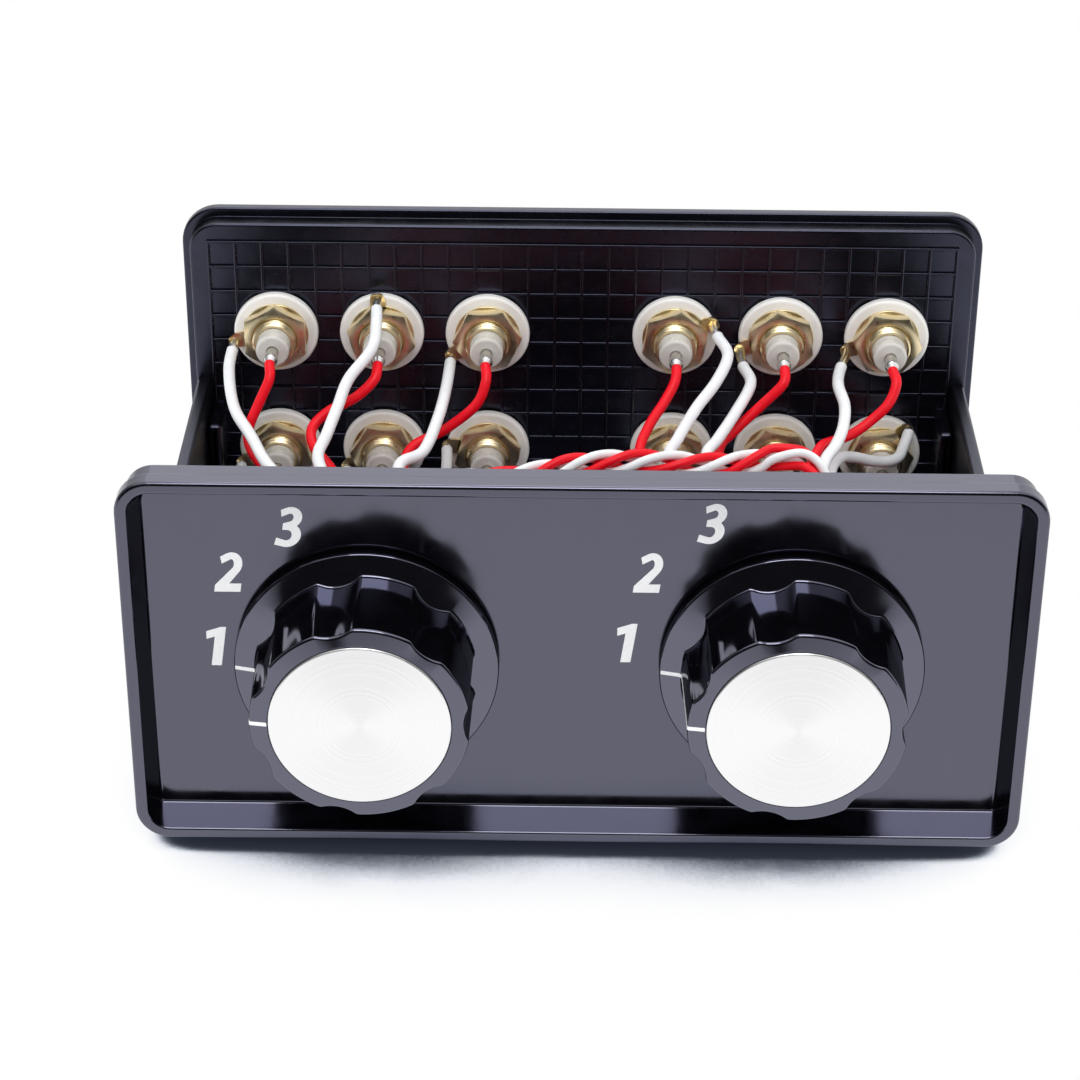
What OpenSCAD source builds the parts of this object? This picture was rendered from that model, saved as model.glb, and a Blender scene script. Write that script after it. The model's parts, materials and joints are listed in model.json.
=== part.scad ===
// Audio source selector with its upper cover off: two rotary switches behind a recessed front panel,
// twelve phono jacks in a ribbed rear panel, and the hook-up wire that joins them.
// Lengths are millimetres. The modules draw the part with its front rim at y = 0 and the bottom edge
// of the front panel at z = 0, and in_place() carries it to the origin, bottom centre of its box.

/* [Front panel] */
// Width of the front panel
panel_w = 130; // [128:1:150]
// Height of the front panel
panel_h = 60; // [58:1:75]
// Outer corner radius of the front panel
panel_corner_r = 5; // [4:0.5:7]
// Depth of the front flange
flange_t = 3; // [2:0.5:4]
// Step from the flange in to the ledge behind it
ledge_step = 0.8; // [0.4:0.1:1.2]
// Depth of the recess in the front panel
recess_depth = 5; // [4.5:0.5:6]
// Thickness of the plate behind the recess
plate_t = 2; // [1.5:0.5:3]
// Width of the raised rim round the recess
rim_w = 1.75; // [1.25:0.25:2.5]
// How far the recess walls lean in from mouth to floor
recess_draft = 1.4; // [0.6:0.2:2]

/* [Lower shell] */
// Distance between the front panel's back and the rear panel's inner face
case_depth = 81.6; // [78:0.2:100]
// Inset of the shell's outer face from the panel's outline
shell_inset = 0.5; // [0.3:0.1:1]
// Wall thickness of the shell
wall_t = 2.2; // [1.8:0.2:3]
// Height of the side walls' top edge
wall_top = 31.5; // [29:0.5:40]
// Outer radius along the shell's bottom edges
shell_corner_r = 4.5; // [4:0.5:6]
// Clearance of the front panel above the table
stand_h = 2.6; // [2:0.2:5]
// Radius of a rubber foot
foot_r = 5; // [3:0.5:8]
// Distance of the feet from the shell's sides
foot_side_inset = 14; // [10:1:20]
// Distance of the feet from the shell's ends
foot_end_inset = 10; // [9:1:20]

/* [Panel tabs] */
// Thickness of a locating tab
tab_t = 2.4; // [2:0.2:3]
// Length of a locating tab
tab_len = 9; // [7:0.5:12]
// Height of a side tab's lower edge
tab_low = 12; // [9:0.5:14]
// Height of a side tab
tab_h = 15; // [10:0.5:16]
// Width of a floor tab
floor_tab_w = 12; // [8:1:20]
// Distance of a floor tab from the middle
floor_tab_x = 30; // [20:1:40]
// Radius of the snap nub on a side tab
nub_r = 1.5; // [1:0.1:2]
// Height of the snap nub
nub_h = 0.9; // [0.5:0.1:1]

/* [Rear panel] */
// Inset of the rear panel's plug from the front panel's outline
rear_inset = 0.3; // [0.2:0.1:0.8]
// Depth of the plug in front of the flange
rear_ledge_t = 3.2; // [2.6:0.2:4]
// How far the flange stands out beyond the plug
rear_flange_step = 1.5; // [0.8:0.1:1.8]
// Thickness of the flange
rear_flange_t = 2; // [1.6:0.2:3]
// Thickness of the plate that carries the jacks
rear_plate_t = 2.6; // [2:0.2:3.2]
// Width of the raised rim on the outside
rear_rim_w = 4; // [3:0.5:5]
// Height of the ribs on the inner face
rib_h = 0.5; // [0.3:0.1:0.8]
// Width of a rib
rib_w = 0.5; // [0.4:0.1:0.8]
// Plain margin round the rib grid
rib_margin = 3.1; // [2.5:0.1:5]
// Number of cells across the rib grid
rib_cols = 28; // [20:1:32]
// Number of cells up the rib grid
rib_rows = 12; // [8:1:14]

/* [Jacks] */
// Distance of the innermost jacks from the middle
jack_inner_x = 15.55; // [14:0.05:17]
// Distance between neighbouring jacks in a bank
jack_pitch = 17.6; // [17:0.1:18]
// Height of the lower row of jacks
jack_low_z = 19.3; // [18.5:0.1:20]
// Distance between the two rows
jack_row_gap = 21.7; // [20:0.1:23]
// Radius of the nylon washer inside
washer_r = 7; // [6.5:0.1:7.4]
// Thickness of the nylon washer
washer_t = 1.5; // [1:0.1:2]
// Radius of the ground lug's ring
lug_ring_r = 5.4; // [5:0.1:6]
// Thickness of the ground lug
lug_t = 0.5; // [0.3:0.1:0.8]
// Width of the ground lug's tab
lug_tab_w = 2.6; // [2:0.1:3]
// Distance from the jack's axis to the soldered wire on the tab
lug_reach = 7; // [6.8:0.1:7.6]
// Width across the flats of the jack's nut
jack_nut_af = 10; // [9:0.5:10.5]
// Thickness of the jack's nut
jack_nut_t = 2.2; // [1.8:0.1:2.8]
// Radius of the jack's threaded part
jack_thread_r = 3.6; // [3.4:0.1:3.9]
// Reach of the threaded part inside the case
jack_thread_len = 5.7; // [5.2:0.1:7]
// Reach of the insulating core inside the case
core_len = 8.7; // [8:0.1:10]
// Reach of the solder tail inside the case
tail_len = 12; // [11:0.1:13]
// Radius of the insulating core
core_r = 2.75; // [2.5:0.05:2.9]
// Radius of the solder tail
tail_r = 0.9; // [0.7:0.05:1.2]
// Radius of the coloured ring outside
ring_r = 6.75; // [6.4:0.05:7.5]
// Thickness of the coloured ring outside
ring_t = 2; // [1.5:0.1:3]
// Radius of the jack's flange
jack_flange_r = 6; // [5.5:0.1:6.3]
// Thickness of the jack's flange
jack_flange_t = 2; // [1.5:0.1:3]
// Radius of the jack's barrel
barrel_r = 4.15; // [4.1:0.05:4.3]
// Length of the jack's barrel
barrel_len = 9; // [8:0.5:11]
// Radius of the barrel's bore, which holds the core
barrel_bore_r = 3.4; // [3.2:0.05:3.6]
// Radius of the socket that takes the plug's pin
socket_r = 1.65; // [1.6:0.05:1.75]
// Depth of that socket
socket_depth = 7; // [6:0.5:7.5]
// Wall of the centre contact round the socket
socket_wall = 0.4; // [0.3:0.05:0.6]

/* [Knobs] */
// Distance between the two knob axes
knob_spacing = 61.3; // [58:0.1:66]
// Height of the knob axes
knob_z = 28.2; // [27:0.1:32]
// How far the knob cap stands out in front of the rim
knob_proud = 12.1; // [11:0.1:15]
// Gap between the knob and the panel
knob_gap = 0.5; // [0.3:0.1:1]
// Radius of the skirt
skirt_r = 19.1; // [18:0.1:21]
// Thickness of the skirt's edge
skirt_edge_t = 1.5; // [0.8:0.1:2]
// Rise of the skirt from its edge to the grip
skirt_rise = 0.2; // [0.1:0.1:1.2]
// Radius of the grip at the skirt
grip_r = 15.9; // [15:0.1:17]
// Radius of the grip at the face
grip_face_r = 15.5; // [14.8:0.1:15.9]
// Bevel round the knob's face
face_bevel = 0.5; // [0.3:0.1:1.2]
// Number of flutes round the grip
flutes = 7; // [5:1:12]
// Depth of a flute
flute_depth = 1.3; // [0.6:0.1:1.6]
// Width of a flute
flute_w = 6.3; // [4:0.1:6.6]
// Radius of the aluminium cap
cap_r = 12.85; // [11:0.05:13]
// Thickness of the aluminium cap
cap_t = 0.8; // [0.5:0.1:1.2]
// How far the cap stands out of the knob's face
cap_proud = 0.2; // [0.1:0.1:0.4]
// Radius of the hollow that clears the switch nut
hollow_r = 9.2; // [8.8:0.1:11]
// Radius of the brass bush in the knob
bush_r = 5.5; // [5:0.1:6.5]
// Length of the brass bush
bush_len = 9.2; // [8:0.1:9.5]
// Radius of the set screw
set_screw_r = 1.5; // [1:0.1:1.7]
// Length of the set screw
set_screw_len = 6; // [4:0.5:8]

/* [Rotary switch] */
// Radius of the shaft
shaft_r = 3; // [2.8:0.1:3.2]
// Depth of the flat on the shaft
shaft_flat = 0.6; // [0.3:0.1:0.8]
// Radius of the threaded bushing
bushing_r = 4.5; // [4.2:0.1:5]
// Reach of the bushing in front of the panel's recess floor
bushing_reach = 3.5; // [3.2:0.1:3.8]
// Thickness of the washer under the nut
switch_washer_t = 0.5; // [0.3:0.1:0.6]
// Radius of the washer under the nut
switch_washer_r = 8; // [7:0.1:8.5]
// Width across the flats of the switch nut
switch_nut_af = 14; // [12:0.5:14.5]
// Thickness of the switch nut
switch_nut_t = 2.2; // [1.8:0.1:2.6]
// Thickness of the switch's metal frame
frame_t = 1.2; // [1:0.1:1.5]
// Thickness of the frame's folded ears
ear_t = 0.8; // [0.6:0.1:1.2]
// Width of the frame's folded ears
ear_w = 4; // [3:0.5:4.5]
// Outer radius of the switch housing
housing_r = 12.5; // [12.3:0.1:13.5]
// Wall of the switch housing
housing_wall = 1.3; // [1:0.1:1.5]
// Length of the switch housing
housing_len = 12; // [12:0.5:15]
// Thickness of the wafer that carries the contacts
wafer_t = 1.5; // [1.2:0.1:2]
// Radius of a terminal pin
terminal_r = 0.6; // [0.5:0.05:0.75]
// Length of a terminal pin behind the wafer
terminal_len = 5.5; // [5:0.5:6]
// Radius of the circle of outer terminals
terminal_ring_r = 10; // [9.8:0.1:10.2]
// Radius of the circle of common terminals
common_ring_r = 5.5; // [5.2:0.1:5.8]
// Number of poles
poles = 4; // [4:1:4]
// Number of positions of each pole
positions = 3; // [3:1:3]
// Radius of the detent wheel
star_r = 8; // [7.5:0.1:8.2]
// Depth of a detent notch
notch_depth = 0.35; // [0.2:0.05:0.5]
// Radius of the detent ball
ball_r = 1.2; // [1:0.05:1.3]

/* [Wire] */
// Radius of the insulated wires from the jacks
wire_r = 0.85; // [0.6:0.05:0.9]
// Radius of the insulated link wires
link_wire_r = 0.7; // [0.5:0.05:0.75]
// Radius at which the four link wires lie round their common axis
twist_r = 1.45; // [1.4:0.05:1.8]
// Full turns of the link wires on their way across
twist_turns = 4; // [2:1:5]

/* [Clearances] */
// Clearance of pieces that slip into each other
slip_gap = 0.1; // [0.05:0.05:0.2]
// Radial clearance of the turning shaft
run_gap = 0.05; // [0.02:0.01:0.1]
// Radial clearance of pieces pressed or screwed together
press_gap = 0.02; // [0.01:0.01:0.03]
// Least gap between an outer jack's washer and the side tab beside it
jack_side_gap = 0.5; // [0.3:0.1:1.5]

/* [Hidden] */
$fn = 64;
// Overlap of joined shapes, and how far cutters run past what they cut
lap = 1;
eps = 0.01;
arc_steps = 8;
wire_sides = 8;
ring_step = 4.6;

// Stations along the depth, from the front rim
panel_back = recess_depth + plate_t;
rear_in = panel_back + case_depth;
rib_top = rear_in - rib_h;
rear_out = rear_in + rear_plate_t;
rear_end = rear_in + rear_ledge_t + rear_flange_t;
ring_out = rear_out + ring_t;
jack_flange_out = ring_out + jack_flange_t;
barrel_end = jack_flange_out + barrel_len;
mid_y = (barrel_end - knob_proud) / 2;

// Jack stack, from the ribs towards the front
washer_in = rib_top - washer_t;
lug_in = washer_in - lug_t;
nut_in = lug_in - jack_nut_t;
thread_in = rib_top - jack_thread_len;
core_in = rib_top - core_len;
tail_in = rib_top - tail_len;
core_inset = 0.4;
core_end = barrel_end - core_inset;
contact_end = core_end - slip_gap;
contact_floor = 0.6;
socket_start = contact_end - socket_depth - contact_floor;
core_seat = 2;
core_step = socket_start + core_seat;

// Knob stations
knob_x = knob_spacing / 2;
knob_back = recess_depth - knob_gap;
knob_face = -knob_proud + cap_proud;
cap_seat = -knob_proud + cap_t;
skirt_front = knob_back - skirt_edge_t;
grip_start = skirt_front - skirt_rise;
hollow_gap = 1.2;
hollow_roof = recess_depth - bushing_reach - hollow_gap;
bush_end = hollow_roof - bush_len;
bush_floor = 1.2;
shaft_end = bush_end + bush_floor;
set_screw_y = (hollow_roof + bush_end) / 2;
flute_step = 360 / flutes;
flute_foot = 0.3;
flute_end = grip_start - flute_foot;
set_screw_angle = 180 + 1.5 * flute_step;
flute_floor_r = grip_r - flute_depth;
flute_sag = sqrt(grip_r * grip_r - flute_w * flute_w / 4) - flute_floor_r;
flute_r = (flute_w * flute_w / 4 + flute_sag * flute_sag) / (2 * flute_sag);

// Switch stations
frame_back = panel_back + frame_t;
housing_back = frame_back + housing_len;
wafer_back = housing_back + wafer_t;
terminal_end = wafer_back + terminal_len;
housing_in_r = housing_r - housing_wall;
ear_x = housing_r + slip_gap;
hook_len = 2.4;
shaft_tail = 1;
collar_t = 0.6;
collar_r = shaft_r + 1.2;
rotor_gap = 1;
star_start = frame_back + rotor_gap;
star_t = 3;
carrier_start = star_start + star_t + rotor_gap;
carrier_t = 4;
carrier_r = star_r + 1.5;
hub_r = shaft_r + 2.5;
carrier_end = carrier_start + carrier_t;
contact_t = 0.4;
contact_in = housing_back - contact_t;
contact_head_r = terminal_r + 0.4;
wiper_gap = 0.1;
wiper_back = contact_in - wiper_gap;
wiper_t = 0.4;
wiper_w = 1.5;
detent_y = star_start + star_t / 2;
ball_at = star_r + ball_r + run_gap;
spring_start = ball_at + ball_r + run_gap;
spring_floor = 0.6;
spring_end = housing_r - spring_floor;
detent_gap = 0.4;
detent_block_start = star_r + detent_gap;
detent_wall = 1;
detent_block_w = 2 * (ball_r + detent_wall);
contact_angle = 360 / (poles * positions);
pole_angle = 360 / poles;

// Outlines in the plane of the panels, as points of x and z
function arc(c, r, a0, a1) = [for (i = [0:arc_steps])
    let (a = a0 + (a1 - a0) * i / arc_steps) c + r * [cos(a), sin(a)]];
function rounded(w, z0, z1, r) = concat(
    arc([w / 2 - r, z0 + r], r, -90, 0), arc([w / 2 - r, z1 - r], r, 0, 90),
    arc([r - w / 2, z1 - r], r, 90, 180), arc([r - w / 2, z0 + r], r, 180, 270));
function panel_outline(inset, r) = rounded(panel_w - 2 * inset, inset, panel_h - inset, r);
function tray(w, z0, z1, r) = concat(
    arc([w / 2 - r, z0 + r], r, -90, 0), [[w / 2, z1], [-w / 2, z1]],
    arc([r - w / 2, z0 + r], r, 180, 270));

shell_w = panel_w - 2 * shell_inset;
shell_in_w = shell_w - 2 * wall_t;
floor_z = shell_inset + wall_t;
tab_x = shell_in_w / 2 - slip_gap;
nub_z = tab_low + tab_h / 2;
nub_end_inset = 3.6;
function nub_y(y0, way) = y0 + way * (tab_len - nub_end_inset);

// Jack columns from left to right, and rows from the top; the outer jacks stay clear of the side tabs
jack_cols = [0:5];
jack_rows = [0:1];
outer_jack_x = min(jack_inner_x + 2 * jack_pitch, tab_x - tab_t - jack_side_gap - washer_r);
function bank(col) = col < 3 ? -1 : 1;
function jack_x(col) = bank(col) * (outer_jack_x - jack_pitch * (col < 3 ? col : 5 - col));
function jack_z(row) = jack_low_z + jack_row_gap * (1 - row);

// Places the drawing on the part's origin
module in_place() translate([0, -mid_y, stand_h]) children();

// Moves a switch or knob piece to the left (-1) or right (1) axis
module on_axis(side) in_place() translate([side * knob_x, 0, knob_z]) children();

// Turns a piece about the depth axis, counter-clockwise as seen from the front
module turn(angle) rotate([0, -angle, 0]) children();

// Extrudes an outline between two depths
module slab(y0, y1) translate([0, y1, 0]) rotate([90, 0, 0]) linear_extrude(height = y1 - y0) children();

// Round bar along the depth
module rod(y0, y1, r) translate([0, y1, 0]) rotate([90, 0, 0]) cylinder(h = y1 - y0, r = r);

// Solid of revolution about the depth axis, from points of radius and depth
module turned(points) rotate([-90, 0, 0]) rotate_extrude() polygon(points);

// Round ring along the depth
module ring(y0, y1, r_in, r_out) turned([[r_in, y0], [r_out, y0], [r_out, y1], [r_in, y1]]);

// Hexagonal nut along the depth
module hex_nut(y0, y1, across, hole_r) {
    difference() {
        translate([0, y1, 0]) rotate([90, 0, 0]) cylinder(h = y1 - y0, d = across / cos(30), $fn = 6);
        rod(y0 - lap, y1 + lap, hole_r);
    }
}

// Repeats a piece at every jack
module at_jacks() {
    for (row = jack_rows, col = jack_cols)
        in_place() translate([jack_x(col), 0, jack_z(row)]) children();
}

// Side and floor tabs of a panel; y0 is the panel's face and way is 1 or -1 into the case
module panel_tabs(y0, way) {
    full_len = tab_len + lap;
    y_mid = y0 + way * (tab_len - lap) / 2;
    for (side = [-1, 1]) {
        translate([side * (tab_x - tab_t / 2), y_mid, nub_z]) cube([tab_t, full_len, tab_h], center = true);
        translate([side * (tab_x + nub_h / 2 - eps), nub_y(y0, way), nub_z])
            rotate([0, 90, 0]) cylinder(h = nub_h + 2 * eps, r = nub_r, center = true);
        translate([side * floor_tab_x, y_mid, floor_z + slip_gap + tab_t / 2])
            cube([floor_tab_w, full_len, tab_t], center = true);
    }
}

module front_panel() color("#18181c") in_place() {
    difference() {
        union() {
            slab(0, flange_t) polygon(panel_outline(0, panel_corner_r));
            slab(flange_t - lap, panel_back) polygon(panel_outline(ledge_step, panel_corner_r - ledge_step));
            panel_tabs(panel_back, 1);
        }
        hull() {
            slab(-lap, 0) polygon(panel_outline(rim_w, panel_corner_r - rim_w));
            slab(recess_depth - eps, recess_depth)
                polygon(panel_outline(rim_w + recess_draft, panel_corner_r - rim_w));
        }
        for (side = [-1, 1])
            translate([side * knob_x, 0, knob_z]) rod(0, panel_back + lap, bushing_r + slip_gap);
    }
}

module rib_grid() {
    x0 = -panel_w / 2 + rear_inset + rib_margin;
    z0 = rear_inset + rib_margin;
    rib_root = 0.3;
    grid_w = -2 * x0;
    grid_h = panel_h - 2 * z0;
    for (i = [0:rib_cols])
        translate([x0 + grid_w * i / rib_cols - rib_w / 2, rib_top, z0 - rib_w / 2])
            cube([rib_w, rib_h + rib_root, grid_h + rib_w]);
    for (i = [0:rib_rows])
        translate([x0 - rib_w / 2, rib_top, z0 + grid_h * i / rib_rows - rib_w / 2])
            cube([grid_w + rib_w, rib_h + rib_root, rib_w]);
}

module rear_panel() color("#141418") in_place() {
    plug_r = panel_corner_r - rear_inset;
    difference() {
        union() {
            slab(rear_in, rear_end) polygon(panel_outline(rear_inset, plug_r));
            slab(rear_in + rear_ledge_t, rear_end)
                polygon(panel_outline(rear_inset - rear_flange_step, plug_r + rear_flange_step));
            rib_grid();
            panel_tabs(rear_in, -1);
        }
        slab(rear_out, rear_end + lap) polygon(panel_outline(rear_rim_w, plug_r / 2));
        for (row = jack_rows, col = jack_cols)
            translate([jack_x(col), 0, jack_z(row)])
                rod(rib_top - lap, rear_out + lap, jack_thread_r + slip_gap);
    }
}

module lower_shell() color("#1a1a1e") in_place() {
    difference() {
        slab(panel_back, rear_in) polygon(tray(shell_w, shell_inset, wall_top, shell_corner_r));
        slab(panel_back - lap, rear_in + lap)
            polygon(tray(shell_in_w, floor_z, wall_top + lap, shell_corner_r - wall_t));
        for (side = [-1, 1], y = [nub_y(panel_back, 1), nub_y(rear_in, -1)])
            translate([side * (shell_in_w / 2 + nub_h / 2), y, nub_z])
                rotate([0, 90, 0]) cylinder(h = nub_h + slip_gap, r = nub_r + slip_gap, center = true);
    }
}

module rubber_feet() color("#2a2a2c") in_place() {
    foot_h = stand_h + shell_inset;
    sole_r = foot_r - 0.5;
    for (side = [-1, 1], y = [panel_back + foot_end_inset, rear_in - foot_end_inset])
        translate([side * (shell_w / 2 - foot_side_inset), y, -stand_h])
            cylinder(h = foot_h, r1 = sole_r, r2 = foot_r);
}

module knob(side) color("#0c0c0e") on_axis(side) {
    cap_hole_r = cap_r + slip_gap;
    bush_hole_r = bush_r + press_gap;
    difference() {
        turned([[0, cap_seat], [cap_hole_r, cap_seat], [cap_hole_r, knob_face],
                [grip_face_r - face_bevel, knob_face], [grip_face_r, knob_face + face_bevel],
                [grip_r, grip_start], [skirt_r, skirt_front], [skirt_r, knob_back],
                [hollow_r, knob_back], [hollow_r, hollow_roof], [bush_hole_r, hollow_roof],
                [bush_hole_r, bush_end - press_gap], [0, bush_end - press_gap]]);
        for (i = [0:flutes - 1])
            turn(180 + flute_step * (i + 0.5))
                translate([flute_floor_r + flute_r, 0, 0]) rod(knob_face - lap, flute_end, flute_r);
        turn(set_screw_angle) translate([0, set_screw_y, 0])
            rotate([0, 90, 0]) cylinder(h = grip_r + lap, r = set_screw_r + slip_gap);
    }
}

module knob_cap(side) color("#e4e4e6") on_axis(side) {
    rod(-knob_proud, cap_seat, cap_r);
}

module knob_bush(side) color("#c9a24a") on_axis(side) {
    difference() {
        rod(bush_end, hollow_roof, bush_r);
        rod(shaft_end - press_gap, hollow_roof + lap, shaft_r + press_gap);
        turn(set_screw_angle) translate([0, set_screw_y, 0])
            rotate([0, 90, 0]) cylinder(h = bush_r + lap, r = set_screw_r + press_gap);
    }
}

module set_screw(side) color("#55555a") on_axis(side) {
    key_depth = 1.2;
    key_r = 0.8;
    turn(set_screw_angle) translate([shaft_r - shaft_flat + press_gap, set_screw_y, 0]) rotate([0, 90, 0])
        difference() {
            cylinder(h = set_screw_len, r = set_screw_r);
            translate([0, 0, set_screw_len - key_depth]) cylinder(h = key_depth + lap, r = key_r, $fn = 6);
        }
}

module switch_nut(side) color("#b9b9bd") on_axis(side) {
    back = recess_depth - switch_washer_t;
    hex_nut(back - switch_nut_t, back, switch_nut_af, bushing_r + press_gap);
}

module switch_washer(side) color("#c4c4c8") on_axis(side) {
    ring(recess_depth - switch_washer_t, recess_depth, bushing_r + slip_gap, switch_washer_r);
}

module switch_frame(side) color("#a9a9ae") on_axis(side) {
    plate_r = ear_x + ear_t;
    difference() {
        union() {
            rod(recess_depth - bushing_reach, frame_back, bushing_r);
            rod(panel_back, frame_back, plate_r);
            for (way = [-1, 1]) {
                translate([way * (ear_x + ear_t / 2), (panel_back + wafer_back + ear_t) / 2, 0])
                    cube([ear_t, wafer_back + ear_t - panel_back, ear_w], center = true);
                translate([way * (ear_x + ear_t - hook_len / 2), wafer_back + ear_t / 2, 0])
                    cube([hook_len, ear_t, ear_w], center = true);
            }
        }
        rod(recess_depth - bushing_reach - lap, frame_back + lap, shaft_r + run_gap);
        ring(panel_back - lap, wafer_back + ear_t + lap, plate_r, plate_r + ear_w);
    }
}

module switch_housing(side) color("#26262a") on_axis(side) {
    difference() {
        union() {
            ring(frame_back, housing_back, housing_in_r, housing_r);
            intersection() {
                rod(star_start, star_start + star_t, housing_r - eps);
                translate([-detent_block_w / 2, star_start - lap, detent_block_start])
                    cube([detent_block_w, star_t + 2 * lap, housing_r]);
            }
        }
        translate([0, detent_y, 0]) cylinder(h = spring_end + press_gap, r = ball_r + run_gap);
    }
}

module switch_shaft(side) color("#cfcfd3") on_axis(side) {
    difference() {
        union() {
            rod(shaft_end, carrier_end + shaft_tail, shaft_r);
            rod(frame_back + run_gap, frame_back + collar_t, collar_r);
        }
        turn(set_screw_angle) translate([shaft_r - shaft_flat, shaft_end - lap, -shaft_r])
            cube([shaft_r, hollow_roof - shaft_end + lap, 2 * shaft_r]);
    }
}

module switch_rotor(side) color("#e8e4da") on_axis(side) {
    difference() {
        union() {
            rod(star_start, star_start + star_t, star_r);
            rod(star_start, carrier_end, hub_r);
            rod(carrier_start, carrier_end, carrier_r);
        }
        rod(star_start - lap, carrier_end + lap, shaft_r + press_gap);
        for (i = [0:poles * positions - 1])
            turn(contact_angle * i) translate([star_r + ball_r - notch_depth, 0, 0])
                rod(star_start - lap, star_start + star_t, ball_r);
    }
}

module wipers(side) color("#d8b25e") on_axis(side) {
    leg_r = (common_ring_r + terminal_ring_r) / 2;
    reach = terminal_ring_r - common_ring_r + 2 * terminal_r;
    for (i = [0:poles - 1])
        turn(pole_angle * i + contact_angle / 2) translate([leg_r, 0, 0]) {
            translate([0, wiper_back - wiper_t / 2, 0]) cube([reach, wiper_t, wiper_w], center = true);
            translate([0, (carrier_end + wiper_back) / 2, 0])
                cube([wiper_w, wiper_back - carrier_end, wiper_w], center = true);
        }
}

module switch_wafer(side) color("#6a4426") on_axis(side) {
    difference() {
        rod(housing_back, wafer_back, housing_r);
        for (p = terminal_points())
            translate(p) rod(housing_back - lap, wafer_back + lap, terminal_r + press_gap);
    }
}

// Places of the outer and common terminals round the switch axis
function polar(angle, r) = [r * cos(angle), 0, r * sin(angle)];
function common_angle(pole) = pole_angle * (pole + 0.5);
function terminal_points() = concat(
    [for (i = [0:poles * positions - 1]) polar(contact_angle * (i + 0.5), terminal_ring_r)],
    [for (i = [0:poles - 1]) polar(common_angle(i), common_ring_r)]);

module terminals(side) color("#d9c184") on_axis(side) {
    track_r = [common_ring_r - contact_head_r, common_ring_r + contact_head_r];
    for (p = terminal_points()) translate(p) rod(contact_in + contact_t / 2, terminal_end, terminal_r);
    for (i = [0:poles * positions - 1])
        translate(polar(contact_angle * (i + 0.5), terminal_ring_r))
            rod(contact_in, housing_back, contact_head_r);
    for (i = [0:poles - 1])
        turn(common_angle(i)) rotate([-90, 0, 0]) rotate(-contact_angle)
            rotate_extrude(angle = 2 * contact_angle)
                polygon([[track_r[0], contact_in], [track_r[1], contact_in],
                         [track_r[1], housing_back], [track_r[0], housing_back]]);
}

module detent_ball(side) color("#d0d0d4") on_axis(side) {
    translate([0, detent_y, ball_at]) sphere(r = ball_r);
}

module detent_spring(side) color("#9a9aa0") on_axis(side) {
    translate([0, detent_y, spring_start]) cylinder(h = spring_end - spring_start, r = ball_r - run_gap);
}

module jack_shells() color("#d9b45b") at_jacks() {
    small_r = core_r + press_gap;
    large_r = barrel_bore_r + press_gap;
    turned([[small_r, thread_in], [jack_thread_r, thread_in], [jack_thread_r, ring_out],
            [jack_flange_r, ring_out], [jack_flange_r, jack_flange_out], [barrel_r, jack_flange_out],
            [barrel_r, barrel_end], [large_r, barrel_end], [large_r, core_step], [small_r, core_step]]);
}

// The upper row has white rings and the lower row red ones
module jack_rings() {
    for (row = jack_rows, col = jack_cols)
        color(row == 0 ? "#ecebe6" : "#c4161f") in_place() translate([jack_x(col), 0, jack_z(row)])
            ring(rear_out, ring_out, jack_thread_r + slip_gap, ring_r);
}

module jack_washers() color("#e6e2d6") at_jacks() {
    ring(washer_in, rib_top, jack_thread_r + slip_gap, washer_r);
}

module ground_lugs() color("#c99f45") {
    for (row = jack_rows, col = jack_cols)
        in_place() translate([jack_x(col), 0, jack_z(row)]) slab(lug_in, washer_in) difference() {
            union() {
                circle(r = lug_ring_r);
                rotate(lug_angles[row][col]) translate([jack_thread_r, -lug_tab_w / 2])
                    square([lug_reach + wire_r - jack_thread_r, lug_tab_w]);
            }
            circle(r = jack_thread_r + slip_gap);
        }
}

module jack_nuts() color("#d2aa52") at_jacks() {
    hex_nut(nut_in, lug_in, jack_nut_af, jack_thread_r + press_gap);
}

module jack_cores() color("#f0efe8") at_jacks() {
    tail_hole_r = tail_r + press_gap;
    socket_hole_r = socket_r + socket_wall + press_gap;
    turned([[tail_hole_r, core_in], [core_r, core_in], [core_r, core_step], [barrel_bore_r, core_step],
            [barrel_bore_r, core_end], [socket_hole_r, core_end], [socket_hole_r, socket_start],
            [tail_hole_r, socket_start]]);
}

module jack_contacts() color("#dcc07a") at_jacks() {
    socket_out_r = socket_r + socket_wall;
    turned([[0, tail_in], [tail_r, tail_in], [tail_r, socket_start], [socket_out_r, socket_start],
            [socket_out_r, contact_end], [socket_r, contact_end], [socket_r, contact_end - socket_depth],
            [0, contact_end - socket_depth]]);
}

// Directions of the ground lugs, upper row then lower row, in degrees from the right
lug_angles = [[190, 95, 210, 25, 195, 195], [200, 205, 170, 200, 205, 50]];

// Switch contacts that the signal and ground wires reach, in degrees from the right
signal_slots = [[165, 75, 15, 165, 75, 45], [-135, -75, -15, -135, -75, -45]];
ground_slots = [[135, 105, 45, 135, 105, 15], [-165, -105, -45, -165, -105, -15]];

// Places of the switch axes, contact tips, jack tails and outer jacks between which the routes were laid
laid_axis_x = 30.65;
laid_tip_y = 27.2;
laid_tail_y = 76.1;
laid_jack_x = 50.75;

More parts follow.
